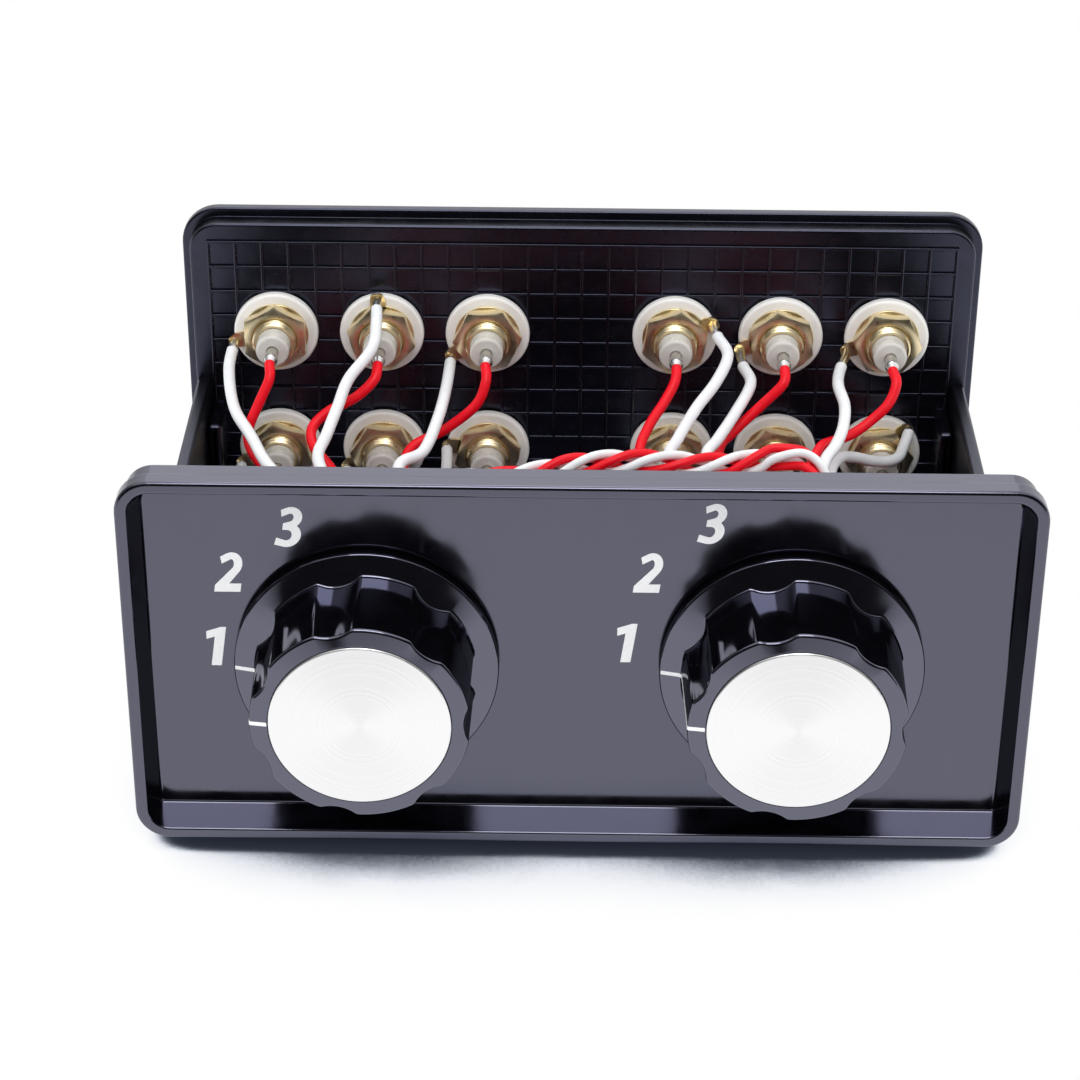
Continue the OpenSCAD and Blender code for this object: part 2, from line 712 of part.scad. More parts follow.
// Hand-laid routes between each jack and its switch contact, upper row then lower row
signal_routes = [
    [[[-50.6, 72.5, 39.6], [-52.3, 70.8, 36], [-54, 69.5, 32], [-53.5, 67, 29.5], [-50, 61, 28],
      [-45, 48, 28.5], [-41, 34, 30.3]],
     [[-33.6, 72.5, 39.6], [-36.5, 71, 37.2], [-41, 70, 35], [-43.5, 68, 33], [-43, 64.5, 31.5],
      [-40, 60, 30], [-36.5, 50, 30.5], [-33.5, 40, 33.5], [-29, 33, 37.2]],
     [[-15.4, 72.5, 39.6], [-17, 71, 36], [-22, 70, 32], [-27, 68, 30], [-28.5, 64, 28.5], [-28, 55, 27],
      [-24.5, 44, 27], [-21.5, 34, 30]],
     [[15.2, 72.5, 39.6], [13.5, 70, 37.3], [11, 66, 35], [9.5, 61, 32.8], [11, 53, 31], [16, 42, 30.5],
      [20.3, 33, 30.7]],
     [[32.8, 72.5, 39.6], [29, 71.5, 35.8], [25, 69.5, 32.5], [22.5, 66, 31], [23, 58, 29.5], [26, 48, 30],
      [29.5, 39, 34], [32.8, 32, 37.3]],
     [[51.2, 72.7, 39.9], [49.9, 70.8, 37.1], [46.8, 69.5, 34.4], [44, 67.8, 33.1], [41.5, 65.5, 33.2],
      [38.6, 61.5, 34.2], [36.6, 56.5, 33.3], [35.4, 51.5, 32.2], [36.2, 46, 31.6], [38.5, 40.5, 32],
      [38.9, 35, 34]]],
    [[[-50.6, 72, 18.6], [-48.5, 60, 17.5], [-42.5, 44, 19], [-38.7, 34, 20.8]],
     [[-33, 72, 18.5], [-31, 55, 17], [-28.6, 40, 18]],
     [[-15.6, 72, 18.6], [-17.5, 58, 18.5], [-20.2, 42, 22.5]],
     [[15.5, 72, 18.5], [17, 60, 17.5], [20.5, 44, 19]],
     [[33, 72, 18.5], [33, 55, 17], [33.2, 40, 18]],
     [[50.5, 72.5, 18.5], [48, 65, 17.5], [43, 52, 18.5], [39.5, 38, 20.5]]]];
ground_routes = [
    [[[-58, 79.5, 37.5], [-56.5, 72, 34.5], [-53, 64, 33.5], [-49.5, 56, 32.5], [-43, 44, 33.5],
      [-38.5, 33, 35]],
     [[-33.5, 79.5, 46.5], [-34, 75, 44], [-37.5, 70, 41], [-39, 65, 38.5], [-40.5, 60, 36],
      [-41.5, 55, 34.5], [-38.5, 44, 35.5], [-34.5, 34, 37.5]],
     [[-22, 75, 37], [-23, 66, 36], [-25, 58, 34.3], [-28.5, 53, 34.5], [-28, 48, 31.5], [-25, 40, 31.5],
      [-23.5, 33, 34.5]],
     [[22.5, 82, 43.3], [24, 78, 42], [22, 72, 40.3], [18.5, 66, 38.3], [15.5, 60, 36], [14, 56, 34.7],
      [16, 47, 33.5], [20, 38, 34], [23, 32, 35]],
     [[26.8, 81, 38.5], [27.8, 76, 37.8], [25, 69, 36], [22, 62, 35], [20, 57.5, 34.3], [21, 49, 33.5],
      [25, 39, 35.5], [27.7, 32, 37.6]],
     [[42.6, 80, 38.3], [42, 74.5, 38.4], [42.6, 68.5, 37.9], [42, 63, 36.9], [40.6, 59, 35.7],
      [38.8, 55.5, 35], [38, 51.5, 33.8], [39.3, 46, 32.3], [40.6, 39, 31]]],
    [[[-57.3, 80, 16.5], [-54.5, 68, 16.5], [-48.5, 50, 20], [-42, 36, 24.5]],
     [[-39.3, 80, 15.8], [-38, 65, 15.8], [-34.5, 45, 17]],
     [[-22.3, 80, 19.8], [-22.5, 68, 18.5], [-23.3, 48, 19.5]],
     [[9, 81, 16.5], [10, 70, 16], [13, 55, 18], [18, 40, 23.5]],
     [[26.8, 80, 15.8], [26.8, 65, 15.8], [27.3, 45, 17]],
     [[54.3, 82.5, 23], [53.2, 79.3, 22.8], [51.2, 77, 23.2], [48.3, 74.5, 24.6], [44.7, 71.5, 26.9],
      [42.2, 68.5, 28.2], [40.6, 64.5, 27.3], [40.5, 54, 25.5]]]];

// Axis that the four link wires twist round, from the left switch to the right one
link_axis = [[-30.6, 37, 29.5], [-29.5, 41.5, 33], [-26.5, 45, 35.3], [-20, 46.5, 35], [-10, 46.5, 35.9],
             [0, 46.5, 38.3], [10, 46.5, 39], [18, 46.5, 38.5], [25, 46.5, 38.8], [30, 46.5, 40.1],
             [33.8, 45.8, 40.4], [36.3, 43.4, 38.6], [36.1, 40.2, 35], [33.7, 36.6, 31.4]];

// Smooth curve through hand-laid points, with points about ring_step apart
function unit(v) = v / norm(v);
function spline(a, b, c, d, t) = 0.5 * (2 * b + (c - a) * t + (2 * a - 5 * b + 4 * c - d) * t * t
    + (3 * b - a - 3 * c + d) * t * t * t);
function steps_between(a, b, step) = max(1, round(norm(b - a) / step));
function smooth(p, step) = let (last = len(p) - 1) concat(
    [for (i = [0:last - 1], n = [steps_between(p[i], p[i + 1], step)], k = [0:n - 1])
        spline(p[max(i - 1, 0)], p[i], p[i + 1], p[min(i + 2, last)], k / n)],
    [p[last]]);
function tangent(p, i) = unit(p[min(i + 1, len(p) - 1)] - p[max(i - 1, 0)]);
function side_dir(t) = unit(cross(t, [0, 0, 1]));

// Tube of one wire along its points
module wire(points, r = wire_r) {
    rings = [for (i = [0:len(points) - 1]) let (t = tangent(points, i), n = side_dir(t), b = cross(n, t))
        for (k = [0:wire_sides - 1]) let (a = 360 * k / wire_sides)
            points[i] + r * (cos(a) * n + sin(a) * b)];
    last = (len(points) - 1) * wire_sides;
    sides = [for (i = [0:len(points) - 2], k = [0:wire_sides - 1])
        let (a = i * wire_sides + k, b = i * wire_sides + (k + 1) % wire_sides)
        each [[a, b, b + wire_sides], [a, b + wire_sides, a + wire_sides]]];
    caps = [for (k = [1:wire_sides - 2]) each [[0, k + 1, k], [last, last + k, last + k + 1]]];
    polyhedron(points = rings, faces = concat(sides, caps));
}

// A straight lead of lead_len leaves every pin, lug and contact square to its face
lead_len = 1.6;
lead = [0, lead_len, 0];
function contact_tip(side, angle, r) = [side * knob_x, terminal_end, knob_z] + polar(angle, r);
function led(start, mids, end) = concat([start, start - lead], mids, [end + lead, end]);

// Carries hand-laid points to where the contacts and tails are: their front ends move with the switches
// and their rear ends with the jacks
function rear_share(y) = (y - laid_tip_y) / (laid_tail_y - laid_tip_y);
function laid_y(y) = terminal_end + (tail_in - terminal_end) * rear_share(y);
function laid_shift(y) = (knob_x - laid_axis_x) * (1 - rear_share(y))
    + (outer_jack_x - laid_jack_x) * rear_share(y);
function laid(route, side) = [for (p = route) [p[0] + side * laid_shift(p[1]), laid_y(p[1]), p[2]]];
function laid_across(route) = [for (p = route) [p[0] * knob_x / laid_axis_x, laid_y(p[1]), p[2]]];

function signal_points(row, col) = smooth(led(
    [jack_x(col), tail_in, jack_z(row)], laid(signal_routes[row][col], bank(col)),
    contact_tip(bank(col), signal_slots[row][col], terminal_ring_r)), ring_step);
function ground_points(row, col) = smooth(led(
    [jack_x(col), lug_in, jack_z(row)] + polar(lug_angles[row][col], lug_reach),
    laid(ground_routes[row][col], bank(col)),
    contact_tip(bank(col), ground_slots[row][col], terminal_ring_r)), ring_step);

// The link wires start and end on the common contacts and wind round link_axis between them
twist_step = 2.6;
function twisted(phase) = let (axis = smooth(laid_across(link_axis), twist_step), last = len(axis) - 1)
    [for (i = [0:last]) let (t = tangent(axis, i), n = side_dir(t), b = cross(n, t),
        a = phase + 360 * twist_turns * i / last) axis[i] + twist_r * (cos(a) * n + sin(a) * b)];
function link_points(pole) = let (
    from = contact_tip(-1, common_angle(pole), common_ring_r),
    to = contact_tip(1, 180 - common_angle(pole), common_ring_r))
    concat([from, from + lead], twisted(common_angle(pole)), [to + lead, to]);

module signal_wires(side) color("#d3121f") in_place() {
    for (row = jack_rows, col = jack_cols) if (bank(col) == side) wire(signal_points(row, col));
}

module ground_wires(side) color("#f1f1f1") in_place() {
    for (row = jack_rows, col = jack_cols) if (bank(col) == side) wire(ground_points(row, col));
}

// Even poles carry the signals and odd poles the grounds
module link_wires(first) color(first == 0 ? "#d3121f" : "#f1f1f1") in_place() {
    for (pole = [first:2:poles - 1]) wire(link_points(pole), link_wire_r);
}

front_panel();
rear_panel();
lower_shell();
rubber_feet();
knob(-1);  // left_knob
knob_cap(-1);  // left_knob_cap
knob_bush(-1);  // left_knob_bush
set_screw(-1);  // left_set_screw
switch_nut(-1);  // left_switch_nut
switch_washer(-1);  // left_switch_washer
switch_frame(-1);  // left_switch_frame
switch_housing(-1);  // left_switch_housing
switch_shaft(-1);  // left_switch_shaft
switch_rotor(-1);  // left_switch_rotor
wipers(-1);  // left_wipers
switch_wafer(-1);  // left_switch_wafer
terminals(-1);  // left_terminals
detent_ball(-1);  // left_detent_ball
detent_spring(-1);  // left_detent_spring
knob(1);  // right_knob
knob_cap(1);  // right_knob_cap
knob_bush(1);  // right_knob_bush
set_screw(1);  // right_set_screw
switch_nut(1);  // right_switch_nut
switch_washer(1);  // right_switch_washer
switch_frame(1);  // right_switch_frame
switch_housing(1);  // right_switch_housing
switch_shaft(1);  // right_switch_shaft
switch_rotor(1);  // right_switch_rotor
wipers(1);  // right_wipers
switch_wafer(1);  // right_switch_wafer
terminals(1);  // right_terminals
detent_ball(1);  // right_detent_ball
detent_spring(1);  // right_detent_spring
jack_shells();
jack_rings();
jack_washers();
ground_lugs();
jack_nuts();
jack_cores();
jack_contacts();
signal_wires(-1);  // left_signal_wires
ground_wires(-1);  // left_ground_wires
signal_wires(1);  // right_signal_wires
ground_wires(1);  // right_ground_wires
link_wires(0);  // link_signal_wires
link_wires(1);  // link_ground_wires
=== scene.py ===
"""Looks of an audio source selector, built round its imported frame."""
import json
from math import atan, copysign, cos, pi, radians, sin, sqrt

import bmesh
import bpy
from mathutils import Matrix, Vector
from mathutils.geometry import tessellate_polygon


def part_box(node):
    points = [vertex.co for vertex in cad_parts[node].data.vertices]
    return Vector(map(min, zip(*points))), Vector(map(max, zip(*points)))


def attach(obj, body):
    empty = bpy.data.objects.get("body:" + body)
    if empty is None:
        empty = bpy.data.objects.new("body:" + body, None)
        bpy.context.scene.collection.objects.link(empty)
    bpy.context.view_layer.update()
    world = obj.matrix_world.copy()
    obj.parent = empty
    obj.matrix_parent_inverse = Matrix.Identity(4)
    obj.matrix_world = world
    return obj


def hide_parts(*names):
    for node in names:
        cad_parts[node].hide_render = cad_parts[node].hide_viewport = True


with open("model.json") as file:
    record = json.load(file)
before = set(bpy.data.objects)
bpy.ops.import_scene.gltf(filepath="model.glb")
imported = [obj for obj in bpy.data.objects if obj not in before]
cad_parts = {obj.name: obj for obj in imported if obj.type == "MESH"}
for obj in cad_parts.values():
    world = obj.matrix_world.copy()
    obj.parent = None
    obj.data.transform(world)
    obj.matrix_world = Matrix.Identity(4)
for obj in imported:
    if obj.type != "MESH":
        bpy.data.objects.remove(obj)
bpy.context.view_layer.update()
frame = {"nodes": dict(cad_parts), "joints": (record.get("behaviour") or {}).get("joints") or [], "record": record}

# Lengths are millimetres in the drawing frame, whose y is 0 on the front rim and z is 0 on the panel's
# lower edge
MM = 0.001
WELD = 1e-6
CORNER_STEPS = 10
HOLD = 0.06
ROUND = 72
CAP_ROUND = 128
SIDES = ("left", "right")
FRONT_LOW, FRONT_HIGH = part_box("front_panel")
ORIGIN = Vector((0, FRONT_LOW.y / MM, FRONT_LOW.z / MM))


def depth(node):
    """Front and rear ends of a node along the depth."""
    low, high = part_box(node)
    return low.y / MM - ORIGIN.y, high.y / MM - ORIGIN.y


def local(place):
    """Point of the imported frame, in the drawing frame."""
    return Vector(place) / MM - ORIGIN


# Stations along the depth, read from the frame
PANEL_BACK, REAR_IN = depth("lower_shell")
REAR_END = depth("rear_panel")[1]
REAR_OUT, RING_OUT = depth("jack_rings")
WASHER_IN, RIB_TOP = depth("jack_washers")
LUG_IN = depth("ground_lugs")[0]
NUT_IN = depth("jack_nuts")[0]
THREAD_IN, BARREL_END = depth("jack_shells")
CORE_IN, CORE_END = depth("jack_cores")
TAIL_IN, CONTACT_END = depth("jack_contacts")
CAP_FACE, CAP_SEAT = depth("left_knob_cap")
KNOB_FACE, KNOB_BACK = depth("left_knob")
BUSH_END = depth("left_knob_bush")[0]
HOUSING_IN, HOUSING_BACK = depth("left_switch_housing")
WAFER_BACK = depth("left_switch_wafer")[1]
TERMINAL_END = depth("left_terminals")[1]
NUT_FRONT, NUT_BACK = depth("left_switch_nut")
BUSHING_IN, EAR_BACK = depth("left_switch_frame")

# Sizes of the panels and the shell; SINK is how deep a tab or rib is rooted, and each kind of tab has its
# place, half width, lower end, upper end and edge
SINK = 0.3
TABS = ((61.0, 1.2, 12, 27, 0.7), (30.0, 6, 2.8, 5.2, 0.35))
PANEL_W = (FRONT_HIGH.x - FRONT_LOW.x) / MM
PANEL_H = (FRONT_HIGH.z - FRONT_LOW.z) / MM
PANEL_R = 5.0
FLOOR_HIGH_R = 2.4
FLOOR_LOW_R = 0.35
FLOOR_TIGHTER = 2.0
FLANGE_T = 3.0
LEDGE_STEP = 0.8
RECESS = 5.0
RIM_W = 1.75
DRAFT = 1.4
SHELL_HALF = 64.5
SHELL_LOW = 0.5
SHELL_WALL = 2.2
SHELL_R = 4.5
SHELL_EDGE = 0.5
WALL_TOP = 31.5
REAR_INSET = 0.3
REAR_LEDGE = 3.2
REAR_STEP = 1.5
REAR_RIM = 4.0
REAR_MIN_R = 2.3
RIB_W = 0.5
RIB_EDGE = 0.12
ROW_DROP = 0.01
RIB_MARGIN = 3.1
RIB_COLS = 28
RIB_ROWS = 12
HOLE_R = 3.7
BUSHING_R = 4.5
BUSHING_GAP = 0.1

# Axes of the knobs and the jacks
AXIS = {j["name"].split("_")[0]: local(j["pos_m"]) for j in frame["joints"]}
JACK = {}
for mount in frame["record"]["mounts"]:
    if mount["name"].startswith("jack_"):
        row, number = mount["name"].split("_")[1:]
        JACK[("upper", "lower").index(row), int(number) - 1] = local(mount["pos_m"])


def placed(name, data):
    """Object in the scene that shows a data block."""
    thing = bpy.data.objects.new(name, data)
    bpy.context.scene.collection.objects.link(thing)
    return thing


class Shape:
    """Points and faces in the drawing frame, gathered from simple forms."""

    def __init__(self):
        self.points = []
        self.faces = []
        self.finishes = []

    def add(self, form, place=None, finish=0):
        points, faces = form
        start = len(self.points)
        for p in points:
            self.points.append(place @ Vector(p) if place else Vector(p))
        for face in faces:
            self.faces.append([start + i for i in face])
            self.finishes.append(finish)

    def build(self, name, slot, materials, nodes=(), body="chassis", origin=(0, 0, 0), sharp=34):
        base = Vector(origin)
        mesh = bpy.data.meshes.new(name)
        mesh.from_pydata([(p - base) * MM for p in self.points], [], self.faces)
        for material in materials:
            mesh.materials.append(material)
        mesh.polygons.foreach_set("material_index", self.finishes)
        work = bmesh.new()
        work.from_mesh(mesh)
        bmesh.ops.remove_doubles(work, verts=work.verts, dist=WELD)
        bmesh.ops.dissolve_degenerate(work, dist=WELD, edges=work.edges)
        bmesh.ops.recalc_face_normals(work, faces=work.faces)
        work.to_mesh(mesh)
        work.free()
        mesh.shade_smooth()
        mesh.set_sharp_from_angle(angle=radians(sharp))
        piece = placed(name, mesh)
        piece.location = (ORIGIN + base) * MM
        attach(piece, body)
        if nodes:
            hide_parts(*nodes)
        return piece


def fillet(corners, steps=4, closed=False):
    """Path through corners of (a, b, radius), each rounded by its radius and held flat on both sides."""
    path = []
    last = len(corners) - 1
    for i, (a, b, r) in enumerate(corners):
        if r == 0 or (not closed and i in (0, last)):
            path.append((a, b))
            continue
        here = Vector((a, b))
        before = Vector(corners[i - 1][:2]) - here
        after = Vector(corners[(i + 1) % len(corners)][:2]) - here
        reach = min(r, 0.49 * before.length, 0.49 * after.length)
        holds = [min(HOLD, 0.8 * (0.5 * way.length - reach)) for way in (before, after)]
        back, ahead = before.normalized(), after.normalized()
        if holds[0] > 2 * WELD / MM:
            path.append(tuple(here + back * (reach + holds[0])))
        for k in range(steps + 1):
            t = pi / 2 * k / steps
            p = here + back * reach * (1 - sin(t))
            path.append(tuple(p + ahead * reach * (1 - cos(t))))
        if holds[1] > 2 * WELD / MM:
            path.append(tuple(here + ahead * (reach + holds[1])))
    return path


def grid(rows, wrap=False):
    """Faces between rows of points that each go once round; wrap joins the last row to the first."""
    count = len(rows[0])
    faces = []
    for i in range(len(rows) - (0 if wrap else 1)):
        j = (i + 1) % len(rows)
        for k in range(count):
            n = (k + 1) % count
            faces.append([i * count + k, i * count + n, j * count + n, j * count + k])
    return [p for row in rows for p in row], faces


def capped(rows):
    """Rows of points joined into a closed solid with a face at each end."""
    points, faces = grid(rows)
    count = len(rows[0])
    faces.append(list(range(count)))
    faces.append(list(range(len(points) - count, len(points))))
    return points, faces


def angles(count):
    """A full turn in equal steps."""
    return [2 * pi * k / count for k in range(count)]


def turned(profile, wrap=False, segments=ROUND):
    """Solid of revolution about the depth axis, from pairs of radius and depth."""
    turns = angles(segments)
    return grid([[(r * cos(a), y, r * sin(a)) for a in turns] for r, y in profile], wrap)


def pierced(outline, holes=()):
    """Flat face inside an outline, with its holes left open."""
    loops = [[Vector(p) for p in loop] for loop in (outline, *holes)]
    return [p for loop in loops for p in loop], [list(t) for t in tessellate_polygon(loops)]


def extruded(loops):
    """Shape between two outlines, with a flat face at each end."""
    shape = Shape()
    shape.add(grid(loops))
    for loop in loops:
        shape.add(pierced(loop))
    return shape


def circle(x, y, z, r, segments=48):
    """Points round a circle that faces along the depth."""
    return [(x + r * cos(a), y, z + r * sin(a)) for a in angles(segments)]


def rounded(x0, x1, z0, z1, low_r, high_r, y):
    """Points round an upright rectangle with rounded corners, lower corners and upper corners apart."""
    loop = []
    corners = ((x1, z0, low_r, -90), (x1, z1, high_r, 0), (x0, z1, high_r, 90), (x0, z0, low_r, 180))
    for x, z, r, start in corners:
        cx = x - r if x == x1 else x + r
        cz = z + r if z == z0 else z - r
        for k in range(CORNER_STEPS + 1):
            a = radians(start + 90 * k / CORNER_STEPS)
            loop.append((cx + r * cos(a), y, cz + r * sin(a)))
    return loop


def block(x0, x1, y0, y1, z0, z1, edge):
    """Box with all its edges rounded."""
    rows = []
    for inset, y in fillet([(2 * edge, y0, 0), (0, y0, edge), (0, y1, edge), (2 * edge, y1, 0)], 3):
        r = max(edge - inset, 0.2 * edge)
        rows.append(rounded(x0 + inset, x1 - inset, z0 + inset, z1 - inset, r, r, y))
    return capped(rows)


def at(x, y, z):
    return Matrix.Translation((x, y, z))


def polar(angle, r):
    return Vector((r * cos(radians(angle)), 0, r * sin(radians(angle))))


def turn(angle):
    """Rotation about the depth axis, counter-clockwise as seen from the front."""
    return Matrix.Rotation(-radians(angle), 4, "Y")


def bow(cx, cz, rx, rz, first, last, steps=16):
    """Points along an elliptical arc."""
    turns = [radians(first + (last - first) * k / steps) for k in range(steps + 1)]
    return [(cx + rx * cos(a), cz + rz * sin(a)) for a in turns]


def single(form, place, *labels):
    """Piece of one form; the labels are those of Shape.build."""
    shape = Shape()
    shape.add(form, place)
    return shape.build(*labels)


# Materials
NOISE_LOW, NOISE_HIGH = 0.3, 0.7
NOISE_DETAIL = 3.0
RELIEF_STRENGTH = 0.4


def shader_of(material):
    return material.node_tree.nodes["Principled BSDF"]


def finish(name, colour, roughness, metallic=0.0, sockets=None):
    """Material with one principled shader."""
    material = bpy.data.materials.new(name)
    material.use_nodes = True
    values = {"Base Color": (*colour, 1), "Roughness": roughness, "Metallic": metallic, **(sockets or {})}
    for socket, value in values.items():
        shader_of(material).inputs[socket].default_value = value
    return material


def link(owner, source, target, socket):
    owner.node_tree.links.new(source, target.inputs[socket])


def node(owner, kind, **values):
    """New node of a material or the world."""
    new = owner.node_tree.nodes.new(kind)
    for name, value in values.items():
        new.inputs[name].default_value = value
    return new


def coords(owner, kind="Object"):
    """Socket with texture coordinates; the object's own are metres."""
    return node(owner, "ShaderNodeTexCoord").outputs[kind]


def spread(owner, source, first, last, low, high):
    """Socket that carries a value from one range to another."""
    ends = {"From Min": first, "From Max": last, "To Min": low, "To Max": high}
    ranged = node(owner, "ShaderNodeMapRange", **ends)
    link(owner, source, ranged, "Value")
    return ranged.outputs["Result"]


def noise(material, scale):
    texture = node(material, "ShaderNodeTexNoise", Scale=scale, Detail=NOISE_DETAIL)
    link(material, coords(material), texture, "Vector")
    return texture


def rough(material, texture, low, high):
    """Roughness that follows a texture between two levels."""
    level = spread(material, texture.outputs["Fac"], NOISE_LOW, NOISE_HIGH, low, high)
    link(material, level, shader_of(material), "Roughness")


def bumped(material, texture, strength, distance):
    """Relief that follows a texture; distance is in millimetres."""
    bump = node(material, "ShaderNodeBump", Strength=strength, Distance=distance * MM)
    link(material, texture.outputs["Fac"], bump, "Height")
    link(material, bump.outputs["Normal"], shader_of(material), "Normal")


def tinted(material, texture, first, second):
    """Colour that follows a texture between two colours."""
    ramp = node(material, "ShaderNodeValToRGB")
    ends = ((NOISE_LOW, first), (NOISE_HIGH, second))
    for element, (place, colour) in zip(ramp.color_ramp.elements, ends):
        element.position = place
        element.color = (*colour, 1)
    link(material, texture.outputs["Fac"], ramp, "Fac")
    link(material, ramp.outputs["Color"], shader_of(material), "Base Color")


def plain(name, first, second, low, high, scale, relief=0.0, metallic=0.0, sockets=None):
    """Material whose colour, roughness and relief vary a little over the surface."""
    material = finish(name, first, low, metallic, sockets)
    texture = noise(material, scale)
    tinted(material, texture, first, second)
    rough(material, texture, low, high)
    if relief:
        bumped(material, noise(material, 4 * scale), RELIEF_STRENGTH, relief)
    return material


GLOSS = {"IOR": 1.8, "Specular IOR Level": 1.0, "Specular Tint": (0.74, 0.745, 0.98, 1)}
BLACK, COAL = (0.0012, 0.0012, 0.0018), (0.0024, 0.0024, 0.0034)
ABS = plain("moulded_black", BLACK, COAL, 0.1, 0.16, 260, 0.003, 0, GLOSS)
SATIN = {"IOR": 1.6, "Specular IOR Level": 0.75, "Specular Tint": (0.66, 0.69, 1.0, 1)}
REAR_ABS = plain("rear_black", BLACK, COAL, 0.22, 0.3, 260, 0.004, 0, SATIN)
SHELL_ABS = plain("shell_black", BLACK, COAL, 0.3, 0.36, 1800, 0.006, 0, SATIN)
KNOB = plain("knob_black", BLACK, COAL, 0.07, 0.11, 240, 0.002, 0, {**GLOSS, "IOR": 1.9})
PAINT = plain("white_print", (0.94, 0.945, 0.96), (0.97, 0.975, 0.99), 0.38, 0.5, 1500, 0.004)
GILT = plain("gilt", (0.94, 0.77, 0.46), (0.98, 0.86, 0.58), 0.26, 0.38, 900, 0.004, 1.0)
BRASS = plain("brass", (0.66, 0.46, 0.17), (0.75, 0.56, 0.26), 0.22, 0.36, 900, 0.006, 1.0)
TIN = plain("tinned", (0.66, 0.63, 0.57), (0.78, 0.75, 0.69), 0.22, 0.4, 1200, 0.01, 1.0)
SOLDER = plain("solder", (0.74, 0.74, 0.74), (0.86, 0.86, 0.86), 0.2, 0.34, 700, 0.02, 1.0)
STEEL = plain("plated_steel", (0.52, 0.52, 0.54), (0.64, 0.64, 0.66), 0.24, 0.38, 700, 0.006, 1.0)
SOFT = {"Subsurface Weight": 0.15, "Subsurface Radius": (0.9, 0.8, 0.6), "Subsurface Scale": 0.0008}
NYLON = plain("nylon", (0.94, 0.93, 0.9), (0.96, 0.95, 0.93), 0.3, 0.42, 500, 0.006, 0, SOFT)
MILKY = plain("milky_plastic", (0.64, 0.62, 0.58), (0.72, 0.7, 0.66), 0.22, 0.34, 500, 0.004, 0, SOFT)
WHITE_RING = plain("white_ring", (0.76, 0.75, 0.71), (0.82, 0.81, 0.77), 0.25, 0.36, 500, 0.006, 0, SOFT)
RED_RING = plain("red_ring", (0.5, 0.008, 0.012), (0.6, 0.014, 0.02), 0.25, 0.36, 500, 0.006)
CASE = plain("switch_black", (0.018, 0.018, 0.02), (0.03, 0.03, 0.032), 0.34, 0.5, 600, 0.01)
PHENOLIC = plain("phenolic", (0.17, 0.075, 0.025), (0.27, 0.13, 0.05), 0.4, 0.6, 700, 0.015)
RUBBER = plain("rubber", (0.02, 0.02, 0.02), (0.035, 0.035, 0.035), 0.7, 0.85, 1200, 0.03)
SLEEVE = {"Specular IOR Level": 0.25}
RED_WIRE = plain("red_pvc", (0.84, 0.003, 0.014), (0.9, 0.006, 0.02), 0.3, 0.42, 700, 0.006, 0, SLEEVE)
WHITE_WIRE = plain("white_pvc", (0.84, 0.86, 0.89), (0.9, 0.92, 0.94), 0.3, 0.42, 700, 0.006, 0, SLEEVE)


def spun_aluminium():
    """Aluminium with fine turned rings about the piece's own depth axis."""
    streaks = {"Anisotropic": 0.7, "Anisotropic Rotation": 0.25}
    material = finish("spun_aluminium", (0.99, 0.99, 1.0), 0.3, 1.0, streaks)
    flat = node(material, "ShaderNodeVectorMath")
    flat.operation = "MULTIPLY"
    flat.inputs[1].default_value = (1, 0, 1)
    radius = node(material, "ShaderNodeVectorMath")
    radius.operation = "LENGTH"
    rings = node(material, "ShaderNodeTexNoise", Scale=2600, Detail=1.0)
    rings.noise_dimensions = "1D"
    link(material, coords(material), flat, 0)
    link(material, flat.outputs["Vector"], radius, 0)
    link(material, radius.outputs["Value"], rings, "W")
    bumped(material, rings, 0.08, 0.003)
    rough(material, rings, 0.27, 0.31)
    tangent = node(material, "ShaderNodeTangent")
    tangent.direction_type = "RADIAL"
    tangent.axis = "Y"
    link(material, tangent.outputs["Tangent"], shader_of(material), "Tangent")
    return material


SPUN = spun_aluminium()


# Front panel
def panel_tabs(shape, y0, y1):
    """Locating tabs between two depths: one by each side wall and two above the floor."""
    for off, half, low, high, edge in TABS:
        for x in (-off, off):
            shape.add(block(x - half, x + half, y0, y1, low, high, edge))


def drilled(rows, axes, r):
    """Shape from rows of points round a panel, with round holes through its end faces."""
    shape = Shape()
    shape.add(grid(rows))
    rims = {}
    for row in (rows[0], rows[-1]):
        y = row[0][1]
        rims[y] = [circle(p.x, y, p.z, r) for p in axes]
        shape.add(pierced(row, rims[y]))
    for pair in zip(rims[min(rims)], rims[max(rims)]):
        shape.add(grid(pair))
    return shape


def panel_row(inset, y, low_r, high_r):
    """Points round the panel's outline, inset from it, at one depth."""
    half = PANEL_W / 2 - inset
    return rounded(-half, half, inset, PANEL_H - inset, low_r, high_r, y)


def front_panel():
    floor_at = RIM_W + DRAFT
    section = fillet([(LEDGE_STEP + 0.8, PANEL_BACK, 0), (LEDGE_STEP, PANEL_BACK, 0.35),
                      (LEDGE_STEP, FLANGE_T, 0.1), (0, FLANGE_T, 0.3), (0, 0, 0.5), (RIM_W, 0, 0.3),
                      (floor_at, RECESS, 0.3), (floor_at + 0.7, RECESS, 0)])
    rows = []
    for inset, y in section:
        inside = max(0, (inset - RIM_W) / DRAFT) if y <= RECESS else 0
        high_r = max(PANEL_R - inset, FLOOR_HIGH_R)
        low_r = max(PANEL_R - inset - FLOOR_TIGHTER * inside, FLOOR_LOW_R)
        rows.append(panel_row(inset, y, low_r, high_r))
    shape = drilled(rows, AXIS.values(), BUSHING_R + BUSHING_GAP)
    panel_tabs(shape, PANEL_BACK - SINK, depth("front_panel")[1])
    shape.build("front_panel_shell", "black_abs", [ABS], ["front_panel"])


